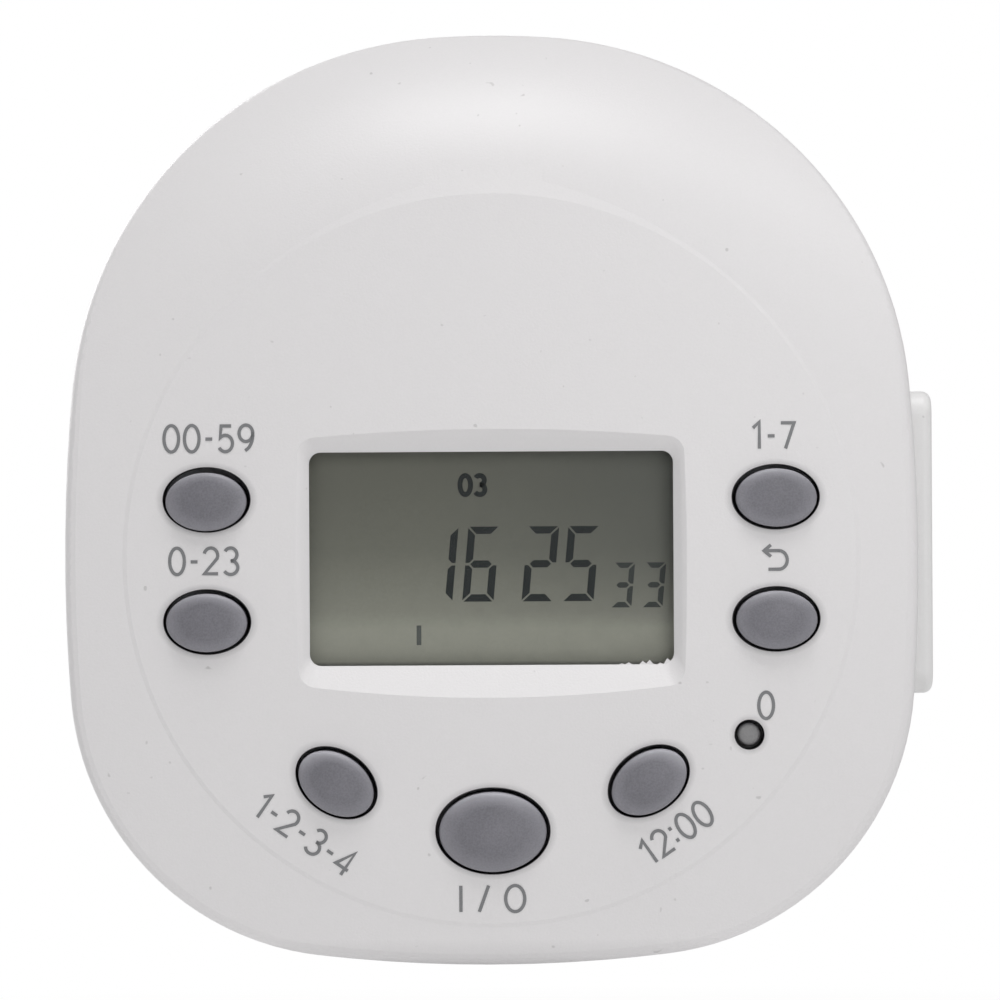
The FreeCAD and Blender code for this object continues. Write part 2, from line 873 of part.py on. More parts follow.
def earth_strap():
    half = strap_width / 2
    low = -earth_pin_radius - half
    high = -earth_pin_radius + half
    plate = strap_plate(-half, x_strap, low, high)
    return plate.fuse(strap_riser(contact_y(earth_pole) - half, y_tail, low, high))


def active_strap():
    half = strap_width / 2
    plate = strap_plate(-live_x - half, -live_x + half, live_z - half, live_z + half)
    foot = block(
        -live_x - half, -live_x, y_power_rear, y_tail - strap_thickness, live_z - half, live_z + half
    )
    return plate.fuse(foot)


def switched_strap():
    """From the relay's output on the power board to the outlet's active contact."""
    half = strap_width / 2
    z_contact = outlet_z + live_z
    z_top = z_contact + half
    z_foot = live_z - half - switched_strap_gap
    y_contact = contact_y(active_pole)
    up = strap_riser(y_contact - half, y_contact + half, z_foot - strap_width, z_top)
    across = strap_riser(y_contact - half, y_power, z_foot - strap_width, z_foot)
    foot = block(
        power_board_right - strap_foot,
        x_strap,
        y_power - strap_thickness,
        y_power,
        z_foot - strap_width,
        z_foot,
    )
    return up.fuse([across, foot])


def screw(x, z, y_seat_plane, direction, head_radius, head_height, shank_radius, length):
    """A pan-head screw whose shank points along the depth, one way or the other."""
    seat = vec(x, y_seat_plane, z)
    inward = vec(0, direction, 0)
    shank = Part.makeCylinder(shank_radius, length, seat, inward)
    head = Part.makeCylinder(head_radius, head_height, seat - inward * head_height, inward)
    rim = min(head.Edges, key=lambda edge: edge.CenterOfMass.y * direction)
    head = head.makeFillet(head_height * head_round_share, [rim])
    slots = []
    for half_x, half_z in ((cross_slot_length, cross_slot_width), (cross_slot_width, cross_slot_length)):
        y_head = y_seat_plane - direction * head_height
        y_slot = y_head + direction * cross_slot_depth
        slots.append(block(
            x - half_x / 2,
            x + half_x / 2,
            min(y_head, y_slot),
            max(y_head, y_slot),
            z - half_z / 2,
            z + half_z / 2,
        ))
    return head.fuse(shank).cut(slots)


def case_screws():
    screws = []
    for x, z in case_screw_places():
        screws.append(screw(
            x, z, y_case_head, -1, case_head_radius, case_head_height, case_screw_radius, case_screw_length
        ))
    return Part.makeCompound(screws)


def board_screw(x, z, y_seat_plane, direction):
    return screw(
        x,
        z,
        y_seat_plane,
        direction,
        board_head_radius,
        board_head_height,
        board_screw_radius,
        board_screw_length,
    )


def board_screws():
    screws = [board_screw(x, z, y_control_rear, -1) for x, z in control_screws]
    screws += [board_screw(x, z, y_power, 1) for x, z in power_screws]
    for side in (-1, 1):
        x = side * pin_carrier_screw_x
        screws.append(board_screw(x, pin_carrier_screw_z, y_pin_carrier_front, 1))
    return Part.makeCompound(screws)


def display_window():
    return window_slab(ledge_width, window_round, y_lens, y_lens + lens_thickness)


def lcd_cell():
    """Two sheets of glass; the front one is shorter, which bares the contact ledge below."""
    y_between = y_cell + cell_thickness / 2
    front = window_slab(ledge_width, window_round / 2, y_cell, y_between)
    step = block(-through, through, y_cell, y_between, -through, window_low - ledge_width / 2)
    rear = window_slab(ledge_width, window_round / 2, y_between, y_reflector)
    return front.cut(step).fuse(rear)


def lcd_reflector():
    low = window_low + strip_width
    high = window_high - strip_width
    y_rear = y_reflector + reflector_thickness
    return rectangle_prism(window_half_width, low, high, window_round, y_reflector, y_rear)


def lcd_frame():
    """The frame round the crystal cell, pressed between the front cover and the board."""
    y_frame = y_lens + lens_thickness + lens_play
    outer = window_slab(ledge_width + lens_play + frame_wall, window_round, y_frame, y_control)
    return outer.cut(window_slab(ledge_width + lens_play, window_round, y_frame, y_control))


def conductive_strips():
    """Soft striped connectors along the cell's two long edges, standing on the board."""
    strips = []
    half = strip_width / 2
    for z in (window_low, window_high):
        run = window_half_width
        strips.append(block(-run, run, y_reflector, y_control, z - half, z + half))
    return Part.makeCompound(strips)


def dome_places():
    places = [(key.x, key.z, 1.0) for key in oval_keys]
    return places + [(reset_key.x, reset_key.z, reset_dome_scale)]


def keypad_mat():
    """One rubber sheet with a hollow dome under each key."""
    sheet = rod(0, disc_height, mat_radius, y_mat, y_control)
    sheet = sheet.cut(block(-through, through, y_mat - cut_margin, 0, mat_top, through))
    domes = []
    hollows = []
    for x, z, scale in dome_places():
        foot = dome_foot_radius * scale
        top = dome_top_radius * scale
        rise = y_mat - y_dome_top
        start = vec(x, y_mat, z)
        domes.append(Part.makeCone(foot, top, rise, start, vec(0, -1, 0)))
        inner_foot = foot - dome_skin
        inner_top = top - dome_skin
        hollow_top = vec(x, y_dome_top + dome_skin, z)
        hollows.append(Part.makeCone(inner_top, inner_foot, rise - dome_skin, hollow_top, vec(0, 1, 0)))
        hollows.append(rod(x, z, inner_foot, y_mat, y_control))
    frame_growth = ledge_width + lens_play + frame_wall + mat_margin
    hollows.append(window_slab(frame_growth, window_round, y_mat - cut_margin, y_control))
    for x, z in control_screws:
        hollows.append(rod(x, z, post_radius + mat_margin, y_mat - cut_margin, y_control))
    return sheet.fuse(domes).cut(hollows)


def control_board():
    """A round board, cut straight beside the outlet plate's flange and notched round the bosses."""
    board = rod(0, disc_height, control_board_radius, y_control, y_control_rear)
    x_limit = x_flange_inner - control_board_side_gap
    board = board.common(block(-through, x_limit, -through, 0, -through, through))
    hole = board_screw_radius + hole_play
    cuts = [rod(x, z, hole, y_control, y_control_rear) for x, z in control_screws]
    for x, z in case_screw_places():
        cuts.append(rod(x, z, case_boss_radius + board_notch, y_control, y_control_rear))
    return board.cut(cuts)


def power_board():
    board = block(
        power_board_left, power_board_right, y_power, y_power_rear, power_board_bottom, power_board_top
    )
    board = round_edges_along(board, vec(0, 1, 0), plate_round)
    hole = board_screw_radius + hole_play
    cuts = [rod(x, z, hole, y_power, y_power_rear) for x, z in power_screws]
    for x, z in case_screw_places():
        cuts.append(rod(x, z, case_boss_radius + board_notch, y_power, y_power_rear))
    return board.cut(cuts)


def controller_chip():
    """The drop of resin over the controller, on the back of the control board."""
    y_centre = y_control_rear + chip_height - chip_dome_radius
    blob = Part.makeSphere(chip_dome_radius, vec(chip_x, y_centre, chip_z))
    return blob.common(block(-through, through, y_control_rear, 0, -through, through))


def axial_part(x, z, y_board, facing, axis, radius, length):
    """A round body lying above a board, with a bent lead at each end."""
    y = y_board + facing * (radius + lead_lift)
    centre = vec(x, y, z)
    body = Part.makeCylinder(radius, length, centre - axis * (length / 2), axis)
    leads = []
    for end in (-1, 1):
        outward = axis * end
        elbow = centre + outward * (length / 2 + lead_reach)
        run = lead_reach + lead_radius
        leads.append(Part.makeCylinder(lead_radius, run, elbow + outward * lead_radius, -outward))
        top = y + facing * lead_radius
        leads.append(rod(elbow.x, elbow.z, lead_radius, min(top, y_board), max(top, y_board)))
    return body.fuse(leads)


def clock_crystal():
    return axial_part(
        crystal_x, crystal_z, y_control_rear, 1, vec(1, 0, 0), crystal_radius, crystal_length
    )


def fusible_resistor():
    return axial_part(
        resistor_x, resistor_z, y_power, -1, vec(0, 0, 1), resistor_radius, resistor_length
    )


def rectifier_diodes():
    diodes = []
    for row in range(diode_count):
        z = diode_z - row * diode_pitch
        diodes.append(axial_part(diode_x, z, y_power, -1, vec(1, 0, 0), diode_radius, diode_length))
    return Part.makeCompound(diodes)


def boxed_part(x, z, half_x, half_z, height, edge_round):
    """A moulded component standing on the front of the power board."""
    body = block(x - half_x, x + half_x, y_power - height, y_power, z - half_z, z + half_z)
    return round_edges_along(body, vec(0, 1, 0), edge_round)


def relay():
    return boxed_part(relay_x, relay_z, relay_half_length, relay_half_width, relay_height, moulded_round)


def dropper_capacitor():
    return boxed_part(
        dropper_x, dropper_z, dropper_half_length, dropper_half_width, dropper_height, moulded_round
    )


def smoothing_capacitor():
    can = rod(smoothing_x, smoothing_z, smoothing_radius, y_power - smoothing_height, y_power)
    ends = [edge for edge in can.Edges if edge.Closed]
    return can.makeFillet(moulded_round, ends)


def varistor():
    """A coated disc standing on its edge, on two wires."""
    y = y_power - lead_lift - varistor_radius
    start = vec(varistor_x, y, varistor_z - varistor_thickness / 2)
    disc = Part.makeCylinder(varistor_radius, varistor_thickness, start, vec(0, 0, 1))
    wires = []
    for side in (-1, 1):
        x = varistor_x + side * varistor_radius / 2
        wires.append(rod(x, varistor_z, lead_radius, y, y_power))
    return disc.fuse(wires)


def driver_transistor():
    """A small round-backed case with a flat front, on three wires."""
    y_foot = y_power - transistor_lift
    case = rod(transistor_x, transistor_z, transistor_radius, y_foot - transistor_height, y_foot)
    flat = block(
        -through, through, -through, 0, transistor_z + transistor_flat, transistor_z + transistor_radius
    )
    case = case.cut(flat)
    wires = []
    for step in (-1, 0, 1):
        x = transistor_x + step * transistor_pitch
        wires.append(rod(x, transistor_z, lead_radius, y_foot, y_power))
    return case.fuse(wires)


def backup_battery():
    y = y_control_rear + battery_gap
    cell = rod(battery_x, battery_z, battery_radius, y, y + battery_thickness)
    ends = [edge for edge in cell.Edges if edge.Closed]
    return cell.makeFillet(moulded_round, ends)


def battery_clip():
    """A spring strap over the cell, soldered to the board at both ends."""
    y_top = y_control_rear + battery_gap + battery_thickness
    reach = battery_radius + battery_clip_play
    half = battery_clip_width / 2
    outer = block(
        battery_x - reach - clip_thickness,
        battery_x + reach + clip_thickness,
        y_control_rear,
        y_top + clip_thickness,
        battery_z - half,
        battery_z + half,
    )
    inner = block(
        battery_x - reach, battery_x + reach, y_control_rear, y_top, battery_z - half, battery_z + half
    )
    return outer.cut(inner)


def link_pins():
    """The row of square pins that joins the power board to the control board."""
    pins = []
    half = link_pin_width / 2
    for row in range(link_count):
        z = link_z + (row - (link_count - 1) / 2) * link_pitch
        pins.append(block(link_x - half, link_x + half, y_control_rear, y_power, z - half, z + half))
    return Part.makeCompound(pins)


def link_header():
    half_run = link_count * link_pitch / 2
    half = link_pitch / 2
    body = block(
        link_x - half, link_x + half, y_power - link_pitch, y_power, link_z - half_run, link_z + half_run
    )
    return body.cut(link_pins().Solids)


nodes = {
    "front_cover": front_cover(),
    "rear_cover": rear_cover(),
    "outlet_plate": outlet_plate(),
    "display_window": display_window(),
    "lcd_cell": lcd_cell(),
    "lcd_reflector": lcd_reflector(),
    "lcd_frame": lcd_frame(),
    "conductive_strips": conductive_strips(),
    "keypad_mat": keypad_mat(),
    "reset_key": reset_body(),
    "control_board": control_board(),
    "controller_chip": controller_chip(),
    "clock_crystal": clock_crystal(),
    "backup_battery": backup_battery(),
    "battery_clip": battery_clip(),
    "power_board": power_board(),
    "relay": relay(),
    "dropper_capacitor": dropper_capacitor(),
    "smoothing_capacitor": smoothing_capacitor(),
    "varistor": varistor(),
    "rectifier_diodes": rectifier_diodes(),
    "fusible_resistor": fusible_resistor(),
    "driver_transistor": driver_transistor(),
    "link_header": link_header(),
    "link_pins": link_pins(),
    "active_pin": pin(active_pole, True),
    "neutral_pin": pin(neutral_pole, True),
    "earth_pin": pin(earth_pole, False),
    "active_sleeve": pin_sleeve(active_pole),
    "neutral_sleeve": pin_sleeve(neutral_pole),
    "pin_carrier": pin_carrier(),
    "contact_carrier": contact_carrier(),
    "active_strap": active_strap(),
    "switched_strap": switched_strap(),
    "neutral_strap": neutral_strap(),
    "earth_strap": earth_strap(),
    "case_screws": case_screws(),
    "board_screws": board_screws(),
}
for key in oval_keys:
    nodes[key.name] = key_body(key)
for pole in poles:
    nodes[pole.name + "_contact"] = outlet_contact(pole)

os.makedirs("parts", exist_ok=True)
for name, shape in nodes.items():
    shape.exportStep("parts/" + name + ".step")
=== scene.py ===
import json
import math
from collections import namedtuple

import bmesh
import bpy
from mathutils import Euler, Matrix, Vector


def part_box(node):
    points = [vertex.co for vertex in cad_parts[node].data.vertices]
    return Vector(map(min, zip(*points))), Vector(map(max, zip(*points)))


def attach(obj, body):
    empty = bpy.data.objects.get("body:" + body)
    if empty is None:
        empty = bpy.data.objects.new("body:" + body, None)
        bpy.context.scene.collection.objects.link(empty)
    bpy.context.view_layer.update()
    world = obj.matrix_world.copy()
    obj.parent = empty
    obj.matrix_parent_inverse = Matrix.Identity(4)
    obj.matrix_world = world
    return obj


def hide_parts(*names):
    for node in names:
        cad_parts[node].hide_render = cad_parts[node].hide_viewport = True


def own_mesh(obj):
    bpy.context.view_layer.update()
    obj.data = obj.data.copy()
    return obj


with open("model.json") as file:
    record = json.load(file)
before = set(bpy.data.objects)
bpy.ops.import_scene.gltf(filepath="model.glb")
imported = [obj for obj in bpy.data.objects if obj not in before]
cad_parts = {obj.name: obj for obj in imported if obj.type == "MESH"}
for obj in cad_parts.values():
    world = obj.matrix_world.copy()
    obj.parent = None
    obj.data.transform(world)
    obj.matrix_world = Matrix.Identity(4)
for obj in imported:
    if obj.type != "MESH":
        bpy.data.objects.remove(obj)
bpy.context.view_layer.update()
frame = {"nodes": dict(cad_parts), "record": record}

nodes = frame["nodes"]

# Camera: a long lens straight in front of the timer, held a hair to its right and not quite level.
camera_place = Vector((0.0025, -0.418, 0.0))
camera_turn = math.radians(0.26)
camera_roll = math.radians(0.33)
camera_lens = 160.6
camera_film = 36.0
camera_near = 0.01

camera_data = bpy.data.cameras.new("camera")
camera_data.lens = camera_lens
camera_data.sensor_width = camera_film
camera_data.clip_start = camera_near
camera = bpy.data.objects.new("camera", camera_data)
camera.location = camera_place
level = Euler((math.pi / 2, 0.0, camera_turn)).to_matrix()
camera.rotation_euler = (level @ Matrix.Rotation(-camera_roll, 3, "Z")).to_euler()
bpy.context.scene.collection.objects.link(camera)
bpy.context.scene.camera = camera
bpy.context.scene.view_settings.view_transform = "Standard"

# Lamps and room: a soft lamp beside the camera, two above whose shine lies on the shoulder, and one
# behind for the back. The camera sees the room pure white; the light that it sheds is weaker.
lamps = {
    "front_lamp": (Vector((0.35, -0.89, 0.28)), 0.6, 1.6),
    "top_lamp": (Vector((0.0, -0.285, 0.694)), 0.3, 2.05),
    "side_lamp": (Vector((0.45, -0.33, 0.56)), 0.3, 0.7),
    "back_lamp": (Vector((-0.6, 0.7, 0.38)), 0.6, 5.0),
}
room_light = 0.385
paper_white = (1.0, 1.0, 1.0)


class Reading:
    """A number that varies over a surface. Arithmetic on it adds Math nodes."""

    def __init__(self, finish, socket):
        self.finish = finish
        self.socket = socket

    def math(self, operation, first, second):
        pair = {0: first, 1: second}
        return self.finish.node("ShaderNodeMath", {"operation": operation}, pair)

    def __add__(self, other):
        return self.math("ADD", self, other)

    def __sub__(self, other):
        return self.math("SUBTRACT", self, other)

    def __mul__(self, other):
        return self.math("MULTIPLY", self, other)

    def __rsub__(self, other):
        return self.math("SUBTRACT", other, self)

    def larger(self, other):
        return self.math("MAXIMUM", self, other)

    def root(self):
        return self.math("SQRT", self, 0.0)

    __radd__ = __add__
    __rmul__ = __mul__


class Finish:
    """The node tree of one finish."""

    def __init__(self, owner):
        owner.use_nodes = True
        self.tree = owner.node_tree
        self.tree.nodes.clear()

    def node(self, kind, settings=None, inputs=None, output=0):
        """Adds a node: its settings first, then the values or links of its sockets."""
        node = self.tree.nodes.new(kind)
        for name, setting in (settings or {}).items():
            setattr(node, name, setting)
        for name, value in (inputs or {}).items():
            if isinstance(value, Reading):
                self.tree.links.new(value.socket, node.inputs[name])
            elif isinstance(value, tuple) and node.inputs[name].type == "RGBA":
                node.inputs[name].default_value = (*value, 1.0)
            else:
                node.inputs[name].default_value = value
        return Reading(self, node.outputs[output]) if node.outputs else None

    def blend(self, share, first, second):
        """The colour between two colours."""
        inputs = {0: share, 6: first, 7: second}
        return self.node("ShaderNodeMix", {"data_type": "RGBA"}, inputs, output=2)

    def place(self):
        return self.node("ShaderNodeTexCoord", output=3)

    def axes(self):
        """The place along X, Y and Z, as three readings."""
        parts = self.node("ShaderNodeSeparateXYZ", None, {0: self.place()})
        return [Reading(self, socket) for socket in parts.socket.node.outputs]

    def noise(self, scale, detail=2.0, stretch=(1.0, 1.0, 1.0)):
        """Cloudy noise fixed to the piece, from 0 to 1, with this many lumps to the metre."""
        place = self.node("ShaderNodeMapping", None, {"Vector": self.place(), "Scale": stretch})
        return self.node("ShaderNodeTexNoise", None, {"Vector": place, "Scale": scale, "Detail": detail})

    def ramp(self, value, low, high):
        """0 below the low value, 1 above the high one, and an even run between them."""
        inputs = {"Value": value, "From Min": low, "From Max": high}
        return self.node("ShaderNodeMapRange", None, inputs)

    def bump(self, height, strength, distance):
        inputs = {"Height": height, "Strength": strength, "Distance": distance}
        return self.node("ShaderNodeBump", None, inputs)

    def principled(self, **inputs):
        return self.node("ShaderNodeBsdfPrincipled", None, inputs)

    def surface(self, shader):
        self.node("ShaderNodeOutputMaterial", None, {"Surface": shader})


room = bpy.data.worlds.new("room")
bpy.context.scene.world = room
air = Finish(room)
seen = air.node("ShaderNodeLightPath", output=0)
strength = seen * (1.0 - room_light) + room_light
backdrop = air.node("ShaderNodeBackground", None, {"Color": paper_white, "Strength": strength})
air.node("ShaderNodeOutputWorld", None, {"Surface": backdrop})

for name, (lamp_place, lamp_side, lamp_watts) in lamps.items():
    lamp_data = bpy.data.lights.new(name, "AREA")
    lamp_data.shape = "SQUARE"
    lamp_data.size = lamp_side
    lamp_data.energy = lamp_watts
    lamp = bpy.data.objects.new(name, lamp_data)
    lamp.location = lamp_place
    lamp.rotation_euler = (-lamp_place).to_track_quat("-Z", "Y").to_euler()
    bpy.context.scene.collection.objects.link(lamp)

# Table: a matt white top below the timer. It takes the timer's soft shadow and turns into the white
# of the room a little way out, so no edge of it shows.
table_height = -0.09
table_radius = 1.2
table_sides = 64
table_fade = (0.12, 0.42)
table_white = (0.86, 0.86, 0.86)


def new_piece(name, points, faces, smooth=True):
    """A mesh object from corners in metres and the faces between them."""
    mesh = bpy.data.meshes.new(name)
    mesh.from_pydata(points, [], faces)
    mesh.polygons.foreach_set("use_smooth", [smooth] * len(mesh.polygons))
    piece = bpy.data.objects.new(name, mesh)
    bpy.context.scene.collection.objects.link(piece)
    return piece


table_rim = []
for side in range(table_sides):
    turn = 2 * math.pi * side / table_sides
    table_rim.append((table_radius * math.cos(turn), table_radius * math.sin(turn), table_height))
table = new_piece("table", table_rim, [list(range(table_sides))], smooth=False)
table_top = bpy.data.materials.new("table_top")
finish = Finish(table_top)
reach = finish.node("ShaderNodeVectorMath", {"operation": "LENGTH"}, {0: finish.place()}, output=1)
camera_ray = finish.node("ShaderNodeLightPath", output=0)
faded = finish.ramp(reach, *table_fade) * camera_ray
matt = finish.node("ShaderNodeBsdfDiffuse", None, {"Color": table_white})
plain = finish.node("ShaderNodeEmission", None, {"Color": paper_white, "Strength": 1.0})
finish.surface(finish.node("ShaderNodeMixShader", None, {0: faded, 1: matt, 2: plain}))
table.data.materials.append(table_top)

# Front cover: the white face of the casing, injection moulded in ABS with a fine matt grain, and held
# by four screws from behind. The shell shown is the solid's own, shaded with the true slope of the
# sphere, the disc's rim and the shoulder, and with a soft lip round the display's surround.
face_front = -0.038
face_radius = 0.2
disc_height = -0.005
disc_radius = 0.0313
disc_step = 0.00008
disc_slope = 0.22
shoulder_centre = -0.02
shoulder_start = 0.0445
shoulder_roll = 0.022
shoulder_bend = 0.0187
shade_reach = 0.0006
shade_lean = math.cos(math.radians(12.0))
surround_half = (0.0183, 0.0124)
surround_lean = math.cos(math.radians(20.0))
surround_upward = 0.2
lip_reach = 0.00006
cover_light = (0.785, 0.769, 0.777)
cover_dark = (0.755, 0.74, 0.744)
cover_roughness = 0.42
grain_scale = 5200.0
grain_depth = 0.00004
cloud_scale = 55.0
cloud_share = 0.6
mottle_range = (0.35, 0.7)
dull_spread = 0.1
dust_scale = 1500.0
dust_range = (0.855, 0.91)
dust_share = 0.3
dust_grey = (0.2, 0.19, 0.18)
plastic_index = 1.5


def sphere_depth(x, z):
    return face_front + face_radius - math.sqrt(face_radius ** 2 - x ** 2 - (z - disc_height) ** 2)


def sphere_slope(x, z):
    run = math.sqrt(face_radius ** 2 - x ** 2 - (z - disc_height) ** 2)
    return Vector((x / run, (z - disc_height) / run))


def shoulder_depth(x, z):
    """The casing's front outside the disc: a step down, and the roll beyond the shoulder circle."""
    reach = max(0.0, math.hypot(x, z - shoulder_centre) - shoulder_start)
    bent = min(reach, shoulder_bend)
    run = math.sqrt(shoulder_roll ** 2 - bent ** 2)
    return sphere_depth(x, z) + disc_step + shoulder_roll - run + bent / run * (reach - bent)


def shoulder_slope(x, z):
    away = math.hypot(x, z - shoulder_centre)
    bent = min(max(0.0, away - shoulder_start), shoulder_bend)
    steepness = bent / math.sqrt(shoulder_roll ** 2 - bent ** 2)
    return sphere_slope(x, z) + Vector((x, z - shoulder_centre)) * (steepness / away)


rim_steepness = disc_radius / math.sqrt(face_radius ** 2 - disc_radius ** 2) + disc_slope


def outward(slope):
    return Vector((slope.x, -1.0, slope.y)).normalized()


def slopes_at(place):
    """How the front may fall at a place: over the disc, or its rim's cone and the shoulder beside it."""
    x, z = place.x, place.z
    out = math.hypot(x, z - disc_height)
    if out < disc_radius:
        return {"disc": sphere_slope(x, z)}
    return {
        "rim": Vector((x, z - disc_height)) * (rim_steepness / out),
        "shoulder": shoulder_slope(x, z),
    }


def slope_of(kind, place):
    """The fall of one kind of surface, also for a corner that lies a hair outside it."""
    x, z = place.x, place.z
    if kind == "disc":
        return sphere_slope(x, z)
    if kind == "rim":
        return Vector((x, z - disc_height)) * (rim_steepness / math.hypot(x, z - disc_height))
    return shoulder_slope(x, z)


def in_surround(spot, smooth):
    """Whether a face is one of the sloping sides round the display, other than the crisp lower one."""
    near_display = abs(spot.x) < surround_half[0] and abs(spot.z - disc_height) < surround_half[1]
    leans = outward(sphere_slope(spot.x, spot.z)).dot(smooth) < surround_lean
    return near_display and leans and smooth.y < 0 and smooth.z < surround_upward


shell = nodes["front_cover"].data.copy()
shell.name = "cover_shell"
shell_normals = [corner.vector.copy() for corner in shell.corner_normals]
for polygon in shell.polygons:
    spot = polygon.center
    smooth = sum((shell_normals[corner] for corner in polygon.loop_indices), Vector()).normalized()
    likeness = {kind: outward(slope).dot(smooth) for kind, slope in slopes_at(spot).items()}
    kind = max(likeness, key=likeness.get)
    near = abs(spot.y - shoulder_depth(spot.x, spot.z)) < shade_reach
    for corner in polygon.loop_indices:
        place = shell.vertices[shell.loops[corner].vertex_index].co
        if near and likeness[kind] > shade_lean:
            shell_normals[corner] = outward(slope_of(kind, place))
        elif in_surround(spot, smooth) and abs(place.y - sphere_depth(place.x, place.z)) < lip_reach:
            face_normal = outward(sphere_slope(place.x, place.z))
            shell_normals[corner] = (shell_normals[corner] + face_normal).normalized()
shell.normals_split_custom_set(shell_normals)
cover_shell = bpy.data.objects.new("cover_shell", shell)
bpy.context.scene.collection.objects.link(cover_shell)
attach(cover_shell, "housing")
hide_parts("front_cover")


def moulded(
    name, light, dark, roughness, grain, strength, depth=grain_depth, clouds=cloud_scale, painted_light_or_shade=None
):
    """A moulded plastic: faint clouds in its colour, a fine grain, dust, and duller and shinier places.

    Painted light or shade laid over its colour is given as a function, which says how far, and the colour
    there.
    """
    material = bpy.data.materials.new(name)
    finish = Finish(material)
    cloud = finish.noise(clouds, 3.0)
    pits = finish.noise(grain, 2.0)
    mottle = finish.ramp(pits, *mottle_range)
    dust = finish.ramp(finish.noise(dust_scale, 0.0), *dust_range)
    colour = finish.blend(cloud * cloud_share + mottle * (1 - cloud_share), light, dark)
    if painted_light_or_shade:
        share, tone = painted_light_or_shade
        colour = finish.blend(share(finish), colour, tone)
    finish.surface(finish.principled(**{
        "Base Color": finish.blend(dust * dust_share, colour, dust_grey),
        "Roughness": cloud * dull_spread + (roughness - dull_spread / 2) - mottle * (dull_spread / 2),
        "IOR": plastic_index,
        "Normal": finish.bump(pits, strength, depth),
    }))
    return material


def dress(piece, material):
    """Puts one finish on a piece."""
    if not piece.material_slots:
        piece.data.materials.append(material)
    for slot in piece.material_slots:
        slot.material = material


# The holes of the keys: the place of each one's middle, its half lengths and its turn in degrees
Hole = namedtuple("Hole", "x z half_long half_short tilt")
side_key_x = 0.02435
upper_key_z = 0.00015
lower_key_z = -0.0103
slant_key_x = 0.01335
slant_key_z = -0.0241
slant_angle = 34.0
mode_key_z = -0.0283
reset_key_x = 0.022
reset_key_z = -0.0202
oval_half_long = 0.00378
oval_half_short = 0.00279
mode_half_long = 0.0049
mode_half_short = 0.00374
reset_radius = 0.00129
key_holes = {
    "minute_key": Hole(-side_key_x, upper_key_z, oval_half_long, oval_half_short, 0.0),
    "hour_key": Hole(-side_key_x, lower_key_z, oval_half_long, oval_half_short, 0.0),
    "week_key": Hole(side_key_x, upper_key_z, oval_half_long, oval_half_short, 0.0),
    "recall_key": Hole(side_key_x, lower_key_z, oval_half_long, oval_half_short, 0.0),
    "program_key": Hole(-slant_key_x, slant_key_z, oval_half_long, oval_half_short, -slant_angle),
    "clock_key": Hole(slant_key_x, slant_key_z, oval_half_long, oval_half_short, slant_angle),
    "mode_key": Hole(0.0, mode_key_z, mode_half_long, mode_half_short, 0.0),
    "reset_key": Hole(reset_key_x, reset_key_z, reset_radius, reset_radius, 0.0),
}
# Painted shade on the cover: a dark grey laid in the gaps round the keys, on the lips of their holes, and
# along the front rim of the foot.
lip_shade_width = 0.0005
lip_shade_share = 0.3
gap_edge = (1.012, 1.002)
foot_fade = (-0.0377, -0.0395)
foot_fade_share = 0.16
foot_edge = (-0.0393, -0.0401)
foot_edge_share = 0.22
foot_front = (-0.03, -0.033)
painted_shade_grey = (0.07, 0.068, 0.072)


def oval_reach(finish, hole):
    """How far a place is from the middle of an oval hole: 1 on its edge."""
    across, _, up = finish.axes()
    turn = math.radians(hole.tilt)
    right = across - hole.x
    above = up - hole.z
    along = (right * math.cos(turn) + above * math.sin(turn)) * (1 / hole.half_long)
    over = (above * math.cos(turn) - right * math.sin(turn)) * (1 / hole.half_short)
    return (along * along + over * over).root()


def key_gap_shade(finish):
    """Painted shade down in the gaps round the keys, and a thin band of it on the lips of their holes."""
    worst = 0.0
    for hole in key_holes.values():
        out = oval_reach(finish, hole)
        haze = finish.ramp(out, 1 + lip_shade_width / hole.half_short, 1.0) * lip_shade_share
        gap = finish.ramp(out, *gap_edge)
        worst = (haze + gap).larger(worst)
    return worst


def foot_rim_shade(finish):
    """Painted shade on the front rim of the foot, growing darker towards its lower edge."""
    _, depth, up = finish.axes()
    fading = finish.ramp(up, *foot_fade) * foot_fade_share
    edge = finish.ramp(up, *foot_edge) * foot_edge_share
    return (fading + edge) * finish.ramp(depth, *foot_front)


# The cover's painted shade: the darker of the key gaps' and the foot rim's.
def cover_shade(finish):
    return key_gap_shade(finish).larger(foot_rim_shade(finish))


# The cover's white carries painted shade in the key gaps and along the front rim of the foot.
cover_white = moulded(
    "cover_white",
    cover_light,
    cover_dark,
    cover_roughness,
    grain_scale,
    strength=0.35,
    painted_light_or_shade=(cover_shade, painted_shade_grey),
)
dress(cover_shell, cover_white)

# Rear cover: the back half of the casing, moulded in the same ABS, with the round pad that meets the
# wall socket. Nobody looks at this side, so its mould was left a little coarser.
rear_light = (0.78, 0.767, 0.772)
rear_dark = (0.742, 0.73, 0.732)
rear_roughness = 0.52
rear_grain = 3800.0
dress(nodes["rear_cover"], moulded(
    "rear_white", rear_light, rear_dark, rear_roughness, rear_grain, strength=0.5
))

# Outlet plate: the slotted face of the side socket, a separate moulding in glossier white nylon that
# the two covers trap by its flange.
plate_light = (0.79, 0.785, 0.785)
plate_dark = (0.76, 0.755, 0.75)
plate_roughness = 0.4
dress(nodes["outlet_plate"], moulded(
    "plate_white", plate_light, plate_dark, plate_roughness, grain_scale, strength=0.2
))

